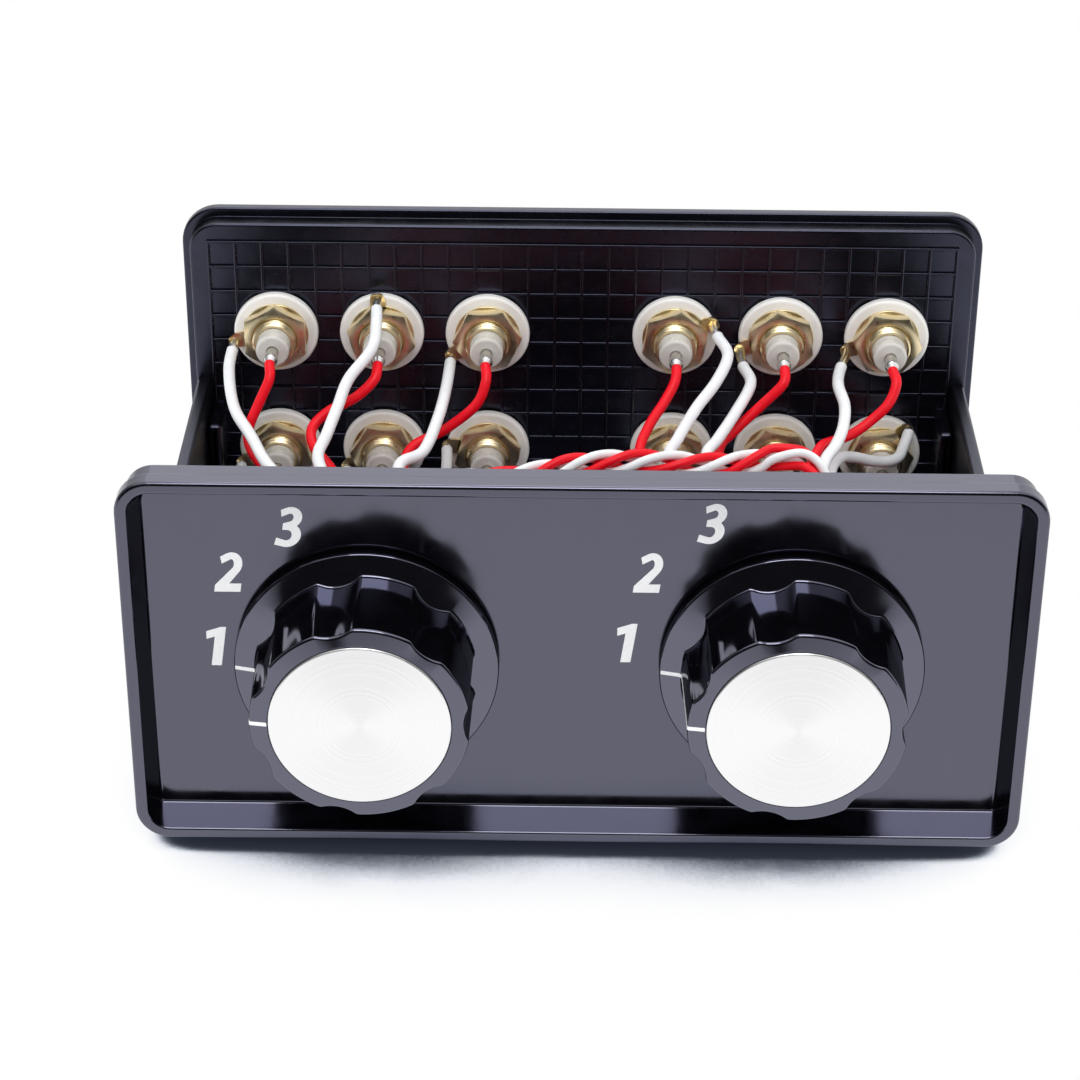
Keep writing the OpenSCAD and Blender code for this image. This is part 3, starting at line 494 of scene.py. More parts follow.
# Rear panel
def clear_spans(fixed, across, low, high):
    """Parts of a rib that the jack holes leave; across says which axis the rib runs along."""
    spans = [(low, high)]
    for place in JACK.values():
        off = abs(fixed - (place.z if across else place.x))
        if off >= HOLE_R:
            continue
        half = sqrt(HOLE_R ** 2 - off ** 2)
        mid = place.x if across else place.z
        cut = []
        for a, b in spans:
            cut += [(a, min(b, mid - half))] if a < mid - half else []
            cut += [(max(a, mid + half), b)] if b > mid + half else []
        spans = cut
    return spans


def rear_panel():
    flange_y = REAR_IN + REAR_LEDGE
    proud = REAR_INSET - REAR_STEP
    section = fillet([(REAR_INSET + 0.9, REAR_IN, 0), (REAR_INSET, REAR_IN, 0.4),
                      (REAR_INSET, flange_y, 0.1), (proud, flange_y, 0.35), (proud, REAR_END, 0.6),
                      (REAR_RIM, REAR_END, 0.3), (REAR_RIM, REAR_OUT, 0.3), (REAR_RIM + 0.8, REAR_OUT, 0)])
    rows = []
    for inset, y in section:
        r = max(PANEL_R - inset, REAR_MIN_R)
        rows.append(panel_row(inset, y, r, r))
    shape = drilled(rows, JACK.values(), HOLE_R)
    half, low = PANEL_W / 2 - REAR_INSET - RIB_MARGIN, REAR_INSET + RIB_MARGIN
    high, w, root = PANEL_H - low, RIB_W / 2, REAR_IN + SINK
    for i in range(RIB_COLS + 1):
        x = -half + 2 * half * i / RIB_COLS
        for a, b in clear_spans(x, False, low - w, high + w):
            shape.add(block(x - w, x + w, RIB_TOP, root, a, b, RIB_EDGE))
    for i in range(RIB_ROWS + 1):
        z = low + (high - low) * i / RIB_ROWS
        for a, b in clear_spans(z, True, -half - w, half + w):
            shape.add(block(a, b, RIB_TOP + ROW_DROP, root, z - w, z + w, RIB_EDGE))
    panel_tabs(shape, depth("rear_panel")[0], root)
    shape.build("rear_panel_shell", "black_abs", [REAR_ABS], ["rear_panel"])


# Lower shell and feet
def lower_shell():
    inner, floor = SHELL_HALF - SHELL_WALL, SHELL_LOW + SHELL_WALL
    inner_r = SHELL_R - SHELL_WALL
    outline = fillet([(-SHELL_HALF, SHELL_LOW, SHELL_R), (SHELL_HALF, SHELL_LOW, SHELL_R),
                      (SHELL_HALF, WALL_TOP, SHELL_EDGE), (inner, WALL_TOP, SHELL_EDGE),
                      (inner, floor, inner_r), (-inner, floor, inner_r),
                      (-inner, WALL_TOP, SHELL_EDGE), (-SHELL_HALF, WALL_TOP, SHELL_EDGE)], 8, True)
    ends = [[(x, y, z) for x, z in outline] for y in (PANEL_BACK, REAR_IN)]
    extruded(ends).build("shell_tray", "black_abs", [SHELL_ABS], ["lower_shell"])


def rubber_feet():
    low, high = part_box("rubber_feet")
    corners = local(low), local(high)
    r, sole, height = 5.0, 4.5, corners[1].z - corners[0].z
    dish_r, floor_r, dish = 3.1, 2.6, 0.5
    profile = fillet([(0, height, 0), (r, height, 0.2), (sole, 0, 0.7), (dish_r, 0, 0.3),
                      (floor_r, dish, 0.3), (0, dish, 0)])
    upright = Matrix.Rotation(radians(90), 4, "X")
    shape = Shape()
    for x in (corners[0].x + r, corners[1].x - r):
        for y in (corners[0].y + r, corners[1].y - r):
            shape.add(turned(profile), at(x, y, corners[0].z) @ upright)
    shape.build("feet", "foot_rubber", [RUBBER], ["rubber_feet"])


# Knobs
SKIRT_R = 19.1
SKIRT_FRONT = 3.0
SKIRT_SLOPE = 0.25
GRIP_R = 15.9
GRIP_FACE_R = 15.5
CAP_R = 12.85
WELL_R = CAP_R + 0.1
HOLLOW_R = 9.2
HOLLOW_ROOF = 0.3
FLUTES = 7
COVE_R = 0.6
COVE_STEPS = 6
COVE_TURN = atan(1 / SKIRT_SLOPE)
GRIP_END_R = GRIP_R + COVE_R * (1 - cos(COVE_TURN))
GRIP_START = SKIRT_FRONT - SKIRT_SLOPE * (SKIRT_R - GRIP_END_R)
FACE_DROP = 0.35
FACE_EDGE = KNOB_FACE + FACE_DROP
FLUTE_FLOOR = 14.6
FLUTE_R = 5.53
FLUTE_STEPS = 48
FLUTE_EDGE = 0.12
FLUTED_FROM = CAP_R + 1
BORE_AT = 5.52
SCREW_ANGLE = 180 + 1.5 * 360 / FLUTES
SCREW_STEPS = 24
KNOB_SHARP = 30
LINE_OUT_R = 18.9


def side_r(y):
    """Radius of the grip at a depth, between its flutes."""
    return GRIP_FACE_R + (GRIP_R - GRIP_FACE_R) * (y - FACE_EDGE) / (GRIP_START - FACE_EDGE)


def cove():
    """Steps out and along the depth where the grip flows into the skirt."""
    turns = [COVE_TURN * k / COVE_STEPS for k in range(COVE_STEPS + 1)]
    full = sin(COVE_TURN)
    return [(COVE_R * (1 - cos(t)), GRIP_START - COVE_R * (full - sin(t))) for t in turns]


def flute_depth(r, turn_deg):
    """How far the flutes cut into the grip's radius at an angle."""
    step = 360 / FLUTES
    off = radians((((turn_deg - 180) / step) % 1 - 0.5) * step)
    away = FLUTE_FLOOR + FLUTE_R
    room = FLUTE_R ** 2 - (away * sin(off)) ** 2
    if room <= 0:
        return 0.0
    gap = away * cos(off) - sqrt(room) - r
    return 0.5 * (sqrt(gap * gap + FLUTE_EDGE * FLUTE_EDGE) - gap)


def knob(side):
    axis = AXIS[side]
    first = cove()[0][1]
    grip = fillet([(WELL_R, CAP_SEAT, 0), (WELL_R, KNOB_FACE, 0.08), (GRIP_FACE_R, FACE_EDGE, 0.35),
                   (side_r(first), first, 0)])
    base = [(side_r(y) + out, y) for out, y in cove()]
    foot = fillet([(GRIP_END_R, GRIP_START, 0), (SKIRT_R, SKIRT_FRONT, 0.3), (SKIRT_R, KNOB_BACK, 0.3),
                   (HOLLOW_R, KNOB_BACK, 0.2), (HOLLOW_R, HOLLOW_ROOF, 0.2), (BORE_AT, HOLLOW_ROOF, 0.1),
                   (BORE_AT, BUSH_END, 0), (0, BUSH_END, 0)])[1:]
    profile = [(0, CAP_SEAT, 0, 0)]
    profile += [(r, y, 1 if r > FLUTED_FROM else 0, 0) for r, y in grip[:-1]]
    profile += [(r, y, 1, SKIRT_SLOPE) for r, y in base]
    profile += [(r, y, 0, 0) for r, y in foot]
    count = FLUTES * FLUTE_STEPS
    rows = []
    for r, y, fluted, slope in profile:
        row = []
        for k in range(count):
            a = 360 * k / count
            cut = fluted * flute_depth(side_r(y), a)
            row.append(axis + polar(a, r - cut) + Vector((0, y - slope * cut, 0)))
        rows.append(row)
    drill(single(grid(rows), None, side + "_knob_body", "knob_plastic", [KNOB], [side + "_knob"],
                 side + "_selector", axis, KNOB_SHARP))


def drill(body):
    """Cuts the set screw's hole into a knob, from its bore out through a flute."""
    low, high = depth("left_set_screw")
    r, mid = (high - low) / 2 + 0.1, (low + high) / 2
    rim = bow(mid, 0, r, r, 0, 360 - 360 / SCREW_STEPS, SCREW_STEPS - 1)
    shape = Shape()
    shape.add(capped([[(x, y, z) for y, z in rim] for x in (BORE_AT - 1, GRIP_R + 1)]), turn(SCREW_ANGLE))
    mesh = bpy.data.meshes.new("drill")
    mesh.from_pydata([p * MM for p in shape.points], [], shape.faces)
    cutter = placed("drill", mesh)
    cutter.matrix_world = body.matrix_world
    cut = body.modifiers.new("hole", "BOOLEAN")
    cut.object = cutter
    depsgraph = bpy.context.evaluated_depsgraph_get()
    body.data = bpy.data.meshes.new_from_object(body.evaluated_get(depsgraph))
    body.modifiers.clear()
    body.data.set_sharp_from_angle(angle=radians(KNOB_SHARP))
    bpy.data.objects.remove(cutter)


def pointer(side):
    """White line over the skirt, the grip and the face, on the lobe that points at the scale."""
    axis = AXIS[side]
    path = [(LINE_OUT_R, SKIRT_FRONT - SKIRT_SLOPE * (SKIRT_R - LINE_OUT_R))]
    path += [(side_r(y) + out, y) for out, y in cove()[::-1]]
    face = (GRIP_FACE_R + 0.02, FACE_EDGE, 0.3), (CAP_R + 0.2, KNOB_FACE, 0)
    path += fillet([(*path[-1], 0), *face], 5)[1:]
    half, skin, root = 0.3, 0.025, 0.05
    rows = []
    for i, (r, y) in enumerate(path):
        ahead = Vector(path[min(i + 1, len(path) - 1)]) - Vector(path[max(i - 1, 0)])
        out = Vector((-ahead.y, ahead.x)).normalized()
        if out.x < 0 and out.y > 0:
            out = -out
        top, low = Vector((r, y)) + out * skin, Vector((r, y)) - out * root
        corners = ((top, -half), (top, half), (low, half), (low, -half))
        rows.append([axis + Vector((-p.x, p.y, w)) for p, w in corners])
    single(capped(rows), None, side + "_pointer_line", "knob_plastic", [PAINT], (),
           side + "_selector", axis)


def knob_cap(side):
    axis = AXIS[side]
    profile = fillet([(0, CAP_FACE, 0), (CAP_R, CAP_FACE, 0.22), (CAP_R, CAP_SEAT, 0.1), (0, CAP_SEAT, 0)])
    disc = turned(profile, segments=CAP_ROUND)
    single(disc, at(axis.x, 0, axis.z), side + "_cap_disc", "spun_aluminium", [SPUN],
           [side + "_knob_cap"], side + "_selector", axis)


# Scale digits, drawn in a unit height
DIGIT_H = 6.3
SLANT = 0.14
BOLD = 0.1
PRINT = (RECESS - 0.03, RECESS + 0.05)
DIGITS = {
    1: [(0.157, 0), (0.357, 0), (0.357, 1), (0.257, 1), (-0.05, 0.885), (-0.027, 0.715), (0.157, 0.78)],
    2: [(0.05, 0.89)] + bow(0.285, 0.7, 0.25, 0.3, 118, -35)
    + [(0.275, 0.185), (0.56, 0.185), (0.56, 0), (0, 0), (0, 0.15)]
    + bow(0.285, 0.7, 0.09, 0.155, -35, 100) + [(0.095, 0.745)],
    3: [(0.04, 0.93)] + bow(0.25, 0.745, 0.25, 0.255, 112, -48) + bow(0.23, 0.29, 0.29, 0.29, 52, -112)
    + [(-0.02, 0.055), (0.0, 0.205)] + bow(0.22, 0.29, 0.125, 0.15, -108, 84)
    + [(0.12, 0.445), (0.12, 0.585)] + bow(0.24, 0.745, 0.1, 0.12, -80, 104) + [(0.065, 0.79)],
}
DIGIT_AT = ((1, -52.29, 30.5), (2, -50.12, 42.94), (3, -41.3, 50.42),
            (1, 6.87, 31.84), (2, 9.62, 43.58), (3, 18.43, 51.69))


def grown(outline, by):
    """Outline moved outwards by a length, which is negative where the outline runs clockwise."""
    path = []
    for i, p in enumerate(outline):
        before = (Vector(p) - Vector(outline[i - 1])).normalized()
        after = (Vector(outline[(i + 1) % len(outline)]) - Vector(p)).normalized()
        side = Vector((before.y + after.y, -before.x - after.x)).normalized()
        reach = by / max(side.dot(Vector((before.y, -before.x))), 0.5)
        path.append(tuple(Vector(p) + side * reach))
    return path


def digits():
    shape = Shape()
    for number, x, z in DIGIT_AT:
        outline = [((u + SLANT * v) * DIGIT_H, v * DIGIT_H) for u, v in DIGITS[number]]
        area = sum(a[0] * b[1] - b[0] * a[1] for a, b in zip(outline, outline[1:] + outline[:1]))
        outline = grown(outline, copysign(BOLD, area))
        mid = (min(u for u, _ in outline) + max(u for u, _ in outline)) / 2
        loops = [[(x + u - mid, y, z + v - DIGIT_H / 2) for u, v in outline] for y in PRINT]
        solid = extruded(loops)
        shape.add((solid.points, solid.faces))
    shape.build("scale_digits", "black_abs", [PAINT])


# Jacks; SNUG is the play between pieces that sit in each other
SNUG = 0.02
WASHER_R = 7.0
LUG_R = 5.4
RING_R = 6.75
NUT_ACROSS = 10.0
NUT_COL_TURN, NUT_ROW_TURN = 17, 11
FLANGE_LEN = 2.0
CORE_HEAD = 5.6
SOCKET_LEN = 7
SOCKET_WALL = 0.4
CONTACT_LEN = 7.6
SMALL_ROUND = 24
THREAD_R = 3.6
BARREL_R = 4.15
FLANGE_R = 6.0
CORE_R = 2.75
BORE_R = 3.4
TAIL_R = 0.9
SOCKET_R = 1.65
LUG_REACH = 7.0
LUG_ANGLES = ((190, 95, 210, 25, 195, 195), (200, 205, 170, 200, 205, 50))
JACK_PIECES = {"jack_shells": ("jack_barrels", "gilt_brass", [GILT]),
               "jack_washers": ("jack_insulating_washers", "nylon", [NYLON]),
               "ground_lugs": ("jack_solder_lugs", "gilt_brass", [GILT]),
               "jack_nuts": ("jack_hex_nuts", "gilt_brass", [GILT]),
               "jack_rings": ("jack_colour_rings", "ring_plastic", [WHITE_RING, RED_RING]),
               "jack_cores": ("jack_core_plugs", "core_plastic", [MILKY]),
               "jack_contacts": ("jack_centre_contacts", "tinned_brass", [TIN])}


def thread(r, y0, y1, pitch=0.75, cut=0.28):
    """Profile of a screw thread as plain ridges."""
    turns = max(1, int((y1 - y0) / pitch))
    step = (y1 - y0) / turns
    path = []
    for i in range(turns):
        path += [(r - cut, y0 + step * i), (r, y0 + step * (i + 0.35)), (r, y0 + step * (i + 0.65))]
    return path + [(r - cut, y1)]


def hex_nut(y0, y1, across, hole_r, points=96):
    """Chamfered hexagonal nut along the depth axis."""
    flat = across / 2
    limit, slope, mouth = 0.97 * flat, 0.6, 0.25
    turns = angles(points)
    hexagon = [flat / cos((a + pi / 6) % (pi / 3) - pi / 6) for a in turns]
    level = [0] * points
    steps = [([mouth] * points, [hole_r] * points), (level, [hole_r + mouth] * points),
             (level, [min(r, limit) for r in hexagon]),
             ([slope * max(0, r - limit) for r in hexagon], hexagon)]
    rows = [[(r * cos(a), y0 + d, r * sin(a)) for d, r, a in zip(*step, turns)] for step in steps]
    rows += [[(r * cos(a), y1 - d, r * sin(a)) for d, r, a in zip(*step, turns)] for step in steps[::-1]]
    return grid(rows, True)


def flat_ring(inner, outer, y0, y1, edges, steps=4):
    """Profile of a flat ring; edges are the roundings of its bore, its front rim and its back rim."""
    bore, front, back = edges
    corners = [(inner, y0, bore), (outer, y0, front), (outer, y1, back), (inner, y1, bore)]
    return fillet(corners, steps, True)


def jack_set():
    flange_out = RING_OUT + FLANGE_LEN
    core_step = CONTACT_END - CORE_HEAD
    seat, socket_end = CONTACT_END - CONTACT_LEN, CONTACT_END - SOCKET_LEN
    wall = SOCKET_R + SOCKET_WALL
    shell = thread(THREAD_R, THREAD_IN, REAR_IN) + [(THREAD_R, REAR_IN), (THREAD_R, RING_OUT)]
    shell += fillet([(THREAD_R, RING_OUT, 0), (FLANGE_R, RING_OUT, 0.25), (FLANGE_R, flange_out, 0.45),
                     (BARREL_R, flange_out, 0.3), (BARREL_R, BARREL_END, 0.45),
                     (BORE_R + SNUG, BARREL_END, 0.25), (BORE_R + SNUG, core_step, 0.1),
                     (CORE_R + SNUG, core_step, 0)])
    shell += [(CORE_R + SNUG, THREAD_IN + 0.2), (CORE_R + SNUG + 0.2, THREAD_IN)]
    washer = flat_ring(HOLE_R, WASHER_R, WASHER_IN, RIB_TOP, (0.2, 0.5, 0.35))
    lug = flat_ring(HOLE_R, LUG_R, LUG_IN, WASHER_IN, (0.1, 0.15, 0.15), 3)
    ring = flat_ring(HOLE_R, RING_R, REAR_OUT, RING_OUT, (0.2, 0.3, 0.5))
    core = fillet([(TAIL_R + SNUG, CORE_IN, 0.2), (CORE_R, CORE_IN, 0.45), (CORE_R, core_step, 0.1),
                   (BORE_R, core_step, 0.1), (BORE_R, CORE_END, 0.3), (wall + SNUG, CORE_END, 0.2),
                   (wall + SNUG, seat, 0.1), (TAIL_R + SNUG, seat, 0.1)], 4, True)
    contact = fillet([(0, TAIL_IN, 0), (TAIL_R, TAIL_IN, 0.4), (TAIL_R, seat, 0.1), (wall, seat, 0.2),
                      (wall, CONTACT_END, 0.15), (SOCKET_R, CONTACT_END, 0.15),
                      (SOCKET_R, socket_end, 0.3), (0, socket_end, 0)])
    nut = hex_nut(NUT_IN, LUG_IN, NUT_ACROSS, THREAD_R + SNUG)
    shapes = {name: Shape() for name in JACK_PIECES}
    for (row, col), place in JACK.items():
        here = at(place.x, 0, place.z)
        shapes["jack_shells"].add(turned(shell, True), here)
        shapes["jack_washers"].add(turned(washer, True), here)
        shapes["ground_lugs"].add(turned(lug, True), here)
        shapes["ground_lugs"].add(lug_tab(), here @ turn(LUG_ANGLES[row][col]))
        shapes["jack_nuts"].add(nut, here @ turn(NUT_COL_TURN * col + NUT_ROW_TURN * row))
        shapes["jack_rings"].add(turned(ring, True), here, row)
        shapes["jack_cores"].add(turned(core, True), here)
        shapes["jack_contacts"].add(turned(contact), here)
    for name, (title, slot, materials) in JACK_PIECES.items():
        shapes[name].build(title, slot, materials, [name])


def lug_tab():
    """Tab of a ground lug along +X, bent a little towards the front at its end."""
    thick, end = WASHER_IN - LUG_IN, LUG_REACH + 0.85
    path = [(4.6, 0, 1.3), (5.9, 0, 1.3), (6.5, -0.12, 1.25), (7.1, -0.38, 1.1), (end - 0.15, -0.72, 0.85),
            (end, -0.8, 0.5)]
    rows = []
    for r, lift, half in path:
        y0, y1 = LUG_IN + lift, LUG_IN + lift + thick
        rows.append([(r, y0, -half), (r, y0, half), (r, y1, half), (r, y1, -half)])
    return capped(rows)


# Rotary switches
PLATE_R = 13.4
SHAFT_HOLE = 3.05
EAR_IN = 12.6
EAR_FOLD = 11.0
EAR_HALF = 2
EAR_EDGE = 0.2
CASE_R = 12.5
CASE_BORE = 11.2
GROOVE_R = 12.2
GROOVE = (3.5, 3.8, 4.6, 4.9)
PIN_R = 0.6
COLLAR_R = 1.05
PIN_ROOT = 0.4
SWITCH_NUT = 14.0
SWITCH_WASHER_R = 8
OUTER_R = 10.0
COMMON_R = 5.5
POLES = 4
THROWS = 12
CONTACTS = [(360 / THROWS * (i + 0.5), OUTER_R) for i in range(THROWS)]
CONTACTS += [(360 / POLES * (i + 0.5), COMMON_R) for i in range(POLES)]


def switch(side):
    axis = AXIS[side]
    here = at(axis.x, 0, axis.z)
    bushing = thread(BUSHING_R, BUSHING_IN, PANEL_BACK - 0.1) + [(BUSHING_R, PANEL_BACK)]
    plate = fillet([(BUSHING_R, PANEL_BACK, 0), (PLATE_R, PANEL_BACK, 0.2), (PLATE_R, HOUSING_IN, 0.2),
                    (SHAFT_HOLE, HOUSING_IN, 0.1), (SHAFT_HOLE, BUSHING_IN, 0)])
    shape = Shape()
    shape.add(turned(bushing + plate[1:], True), here)
    for way in (0, 180):
        ear = here @ turn(way)
        shape.add(block(EAR_IN, PLATE_R, HOUSING_IN - SINK, EAR_BACK, -EAR_HALF, EAR_HALF, EAR_EDGE), ear)
        shape.add(block(EAR_FOLD, PLATE_R - 0.1, WAFER_BACK, EAR_BACK, -EAR_HALF, EAR_HALF, EAR_EDGE), ear)
    shape.build(side + "_switch_bracket", "steel", [STEEL], [side + "_switch_frame"])

    groove = [(r, HOUSING_IN + y, 0.15) for r, y in zip((CASE_R, GROOVE_R, GROOVE_R, CASE_R), GROOVE)]
    case = fillet([(CASE_BORE, HOUSING_IN, 0.1), (CASE_R, HOUSING_IN, 0.3), *groove,
                   (CASE_R, HOUSING_BACK, 0.3), (CASE_BORE, HOUSING_BACK, 0.1)], 3, True)
    single(turned(case, True), here, side + "_switch_case", "switch_plastic", [CASE],
           [side + "_switch_housing"])

    wafer = fillet([(0, HOUSING_BACK, 0), (CASE_R, HOUSING_BACK, 0.15), (CASE_R, WAFER_BACK, 0.15),
                    (0, WAFER_BACK, 0)])
    single(turned(wafer), here, side + "_contact_wafer", "phenolic", [PHENOLIC],
           [side + "_switch_wafer"])

    root = HOUSING_BACK - PIN_ROOT
    pin = fillet([(0, root, 0), (PIN_R, root, 0.1), (PIN_R, WAFER_BACK, 0.05),
                  (COLLAR_R, WAFER_BACK, 0.05), (COLLAR_R, WAFER_BACK + 0.4, 0.15),
                  (PIN_R, WAFER_BACK + 0.5, 0.05), (PIN_R, TERMINAL_END, 0.2), (0, TERMINAL_END, 0)])
    shape = Shape()
    for angle, r in CONTACTS:
        shape.add(turned(pin, segments=SMALL_ROUND), here @ Matrix.Translation(polar(angle, r)))
    shape.build(side + "_contact_pins", "tinned_brass", [TIN], [side + "_terminals"])

    nut = hex_nut(NUT_FRONT, NUT_BACK, SWITCH_NUT, BUSHING_R + SNUG)
    single(nut, here, side + "_fixing_nut", "steel", [STEEL], [side + "_switch_nut"])
    washer = flat_ring(BUSHING_R + BUSHING_GAP, SWITCH_WASHER_R, NUT_BACK, RECESS, (0.1, 0.15, 0.1), 3)
    single(turned(washer, True), here, side + "_fixing_washer", "steel", [STEEL],
           [side + "_switch_washer"])


# Wires: contacts that they reach, in degrees from the right, and routes, upper row then lower row
SIGNAL_SLOTS = ((165, 75, 15, 165, 75, 45), (-135, -75, -15, -135, -75, -45))
GROUND_SLOTS = ((135, 105, 45, 135, 105, 15), (-165, -105, -45, -165, -105, -15))
SIGNAL_ROUTES = (
    (((-50.6, 72.5, 39.6), (-52.3, 70.8, 36), (-54, 69.5, 32), (-53.5, 67, 29.5), (-50, 61, 28),
      (-45, 48, 28.5), (-41, 34, 30.3)),
     ((-33.6, 72.5, 39.6), (-36.5, 71, 37.2), (-41, 70, 35), (-43.5, 68, 33), (-43, 64.5, 31.5),
      (-40, 60, 30), (-36.5, 50, 30.5), (-33.5, 40, 33.5), (-29, 33, 37.2)),
     ((-15.4, 72.5, 39.6), (-17, 71, 36), (-22, 70, 32), (-27, 68, 30), (-28.5, 64, 28.5), (-28, 55, 27),
      (-24.5, 44, 27), (-21.5, 34, 30)),
     ((15.2, 72.5, 39.6), (13.5, 70, 37.3), (11, 66, 35), (9.5, 61, 32.8), (11, 53, 31), (16, 42, 30.5),
      (20.3, 33, 30.7)),
     ((32.8, 72.5, 39.6), (29, 71.5, 35.8), (25, 69.5, 32.5), (22.5, 66, 31), (23, 58, 29.5), (26, 48, 30),
      (29.5, 39, 34), (32.8, 32, 37.3)),
     ((51.2, 72.7, 39.9), (49.9, 70.8, 37.1), (46.8, 69.5, 34.4), (44, 67.8, 33.1), (41.5, 65.5, 33.2),
      (38.6, 61.5, 34.2), (36.6, 56.5, 33.3), (35.4, 51.5, 32.2), (36.2, 46, 31.6), (38.5, 40.5, 32),
      (38.9, 35, 34))),
    (((-50.6, 72, 18.6), (-48.5, 60, 17.5), (-42.5, 44, 19), (-38.7, 34, 20.8)),
     ((-33, 72, 18.5), (-31, 55, 17), (-28.6, 40, 18)),
     ((-15.6, 72, 18.6), (-17.5, 58, 18.5), (-20.2, 42, 22.5)),
     ((15.5, 72, 18.5), (17, 60, 17.5), (20.5, 44, 19)),
     ((33, 72, 18.5), (33, 55, 17), (33.2, 40, 18)),
     ((50.5, 72.5, 18.5), (48, 65, 17.5), (43, 52, 18.5), (39.5, 38, 20.5))))
GROUND_ROUTES = (
    (((-58, 79.5, 37.5), (-56.5, 72, 34.5), (-53, 64, 33.5), (-49.5, 56, 32.5), (-43, 44, 33.5),
      (-38.5, 33, 35)),
     ((-33.5, 79.5, 46.5), (-34, 75, 44), (-37.5, 70, 41), (-39, 65, 38.5), (-40.5, 60, 36),
      (-41.5, 55, 34.5), (-38.5, 44, 35.5), (-34.5, 34, 37.5)),
     ((-22, 75, 37), (-23, 66, 36), (-25, 58, 34.3), (-28.5, 53, 34.5), (-28, 48, 31.5), (-25, 40, 31.5),
      (-23.5, 33, 34.5)),
     ((22.5, 82, 43.3), (24, 78, 42), (22, 72, 40.3), (18.5, 66, 38.3), (15.5, 60, 36), (14, 56, 34.7),
      (16, 47, 33.5), (20, 38, 34), (23, 32, 35)),
     ((26.8, 81, 38.5), (27.8, 76, 37.8), (25, 69, 36), (22, 62, 35), (20, 57.5, 34.3), (21, 49, 33.5),
      (25, 39, 35.5), (27.7, 32, 37.6)),
     ((42.6, 80, 38.3), (42, 74.5, 38.4), (42.6, 68.5, 37.9), (42, 63, 36.9), (40.6, 59, 35.7),
      (38.8, 55.5, 35), (38, 51.5, 33.8), (39.3, 46, 32.3), (40.6, 39, 31))),
    (((-57.3, 80, 16.5), (-54.5, 68, 16.5), (-48.5, 50, 20), (-42, 36, 24.5)),
     ((-39.3, 80, 15.8), (-38, 65, 15.8), (-34.5, 45, 17)),
     ((-22.3, 80, 19.8), (-22.5, 68, 18.5), (-23.3, 48, 19.5)),
     ((9, 81, 16.5), (10, 70, 16), (13, 55, 18), (18, 40, 23.5)),
     ((26.8, 80, 15.8), (26.8, 65, 15.8), (27.3, 45, 17)),
     ((54.3, 82.5, 23), (53.2, 79.3, 22.8), (51.2, 77, 23.2), (48.3, 74.5, 24.6), (44.7, 71.5, 26.9),
      (42.2, 68.5, 28.2), (40.6, 64.5, 27.3), (40.5, 54, 25.5))))
LINK_AXIS = ((-30.6, 37, 29.5), (-29.5, 41.5, 33), (-26.5, 45, 35.3), (-20, 46.5, 35), (-10, 46.5, 35.9),
             (0, 46.5, 38.3), (10, 46.5, 39), (18, 46.5, 38.5), (25, 46.5, 38.8), (30, 46.5, 40.1),
             (33.8, 45.8, 40.4), (36.3, 43.4, 38.6), (36.1, 40.2, 35), (33.7, 36.6, 31.4))
LEAD = Vector((0, 1.6, 0))
WIRE_R = {"signal": 0.85, "ground": 0.95}
LINK_R = 0.7
TWIST_R = 1.45
TWIST_TURNS = 4
TWIST_STEP = 2.6
FINE_STEP = 0.7
BARE_LEN = 0.9
BARE_R = 0.42
LEFT_COLS = 3
LUG_TAIL_HALF, LUG_TAIL_THICK = 0.95, 0.3
LUG_SOLDER_R = 0.72
TAIL_SOLDER, TAIL_SEAT = (0.95, 1.2, 2.2), Vector((0, 1.0, 0))
PIN_SOLDER, PIN_SEAT = (0.65, 1.0, 2.2), Vector((0, -1.2, 0))
KINDS = (("signal", "red_wire", RED_WIRE, SIGNAL_SLOTS, SIGNAL_ROUTES),
         ("ground", "white_wire", WHITE_WIRE, GROUND_SLOTS, GROUND_ROUTES))
LUG_TAILS = ((2.6, 3.3, 2.5, 3.7, 4.8, 4.9), (1.6,) * 6)


def smooth(route, step):
    """Smooth curve through points, with its own points about a step apart."""
    p = [Vector(q) for q in route]
    last = len(p) - 1
    path = []
    for i in range(last):
        a, b, c, d = p[max(i - 1, 0)], p[i], p[i + 1], p[min(i + 2, last)]
        count = max(1, round((c - b).length / step))
        for k in range(count):
            t = k / count
            path.append(0.5 * (2 * b + (c - a) * t + (2 * a - 5 * b + 4 * c - d) * t * t
                               + (3 * b - a - 3 * c + d) * t ** 3))
    return path + [p[last]]


def tangent(path, i):
    return (path[min(i + 1, len(path) - 1)] - path[max(i - 1, 0)]).normalized()


def tube(path, radius, sides=12):
    """Closed round tube along a path, with its ends a little rounded."""
    across = tangent(path, 0).orthogonal().normalized()
    rows = []
    last = len(path) - 1
    for i, p in enumerate(path):
        t = tangent(path, i)
        across = (across - t * across.dot(t)).normalized()
        other = t.cross(across)
        spans = [(radius, 0)]
        if i in (0, last):
            end = 0.2 * radius if i == 0 else -0.2 * radius
            spans = [(0.8 * radius, 0), (radius, end)]
            spans = spans if i == 0 else spans[::-1]
        for r, shift in spans:
            rows.append([p + t * shift + r * (cos(a) * across + sin(a) * other)
                         for a in angles(sides)])
    return capped(rows)


def strip(path, half, thick):
    """Flat strip along a path that bends away from the depth axis, narrower towards its end."""
    rows = []
    last = len(path) - 1
    across = (path[last] - path[0]).cross(Vector((0, 1, 0)))
    for i, p in enumerate(path):
        t = tangent(path, i)
        across = (across - t * across.dot(t)).normalized()
        other = t.cross(across)
        w = half * (1 - 0.35 * i / last)
        section = [(-w, -0.4 * thick), (-0.8 * w, -thick), (0.8 * w, -thick), (w, -0.4 * thick)]
        section += [(-u, -v) for u, v in section]
        rows.append([p + across * u + other * v for u, v in section])
    return capped(rows)


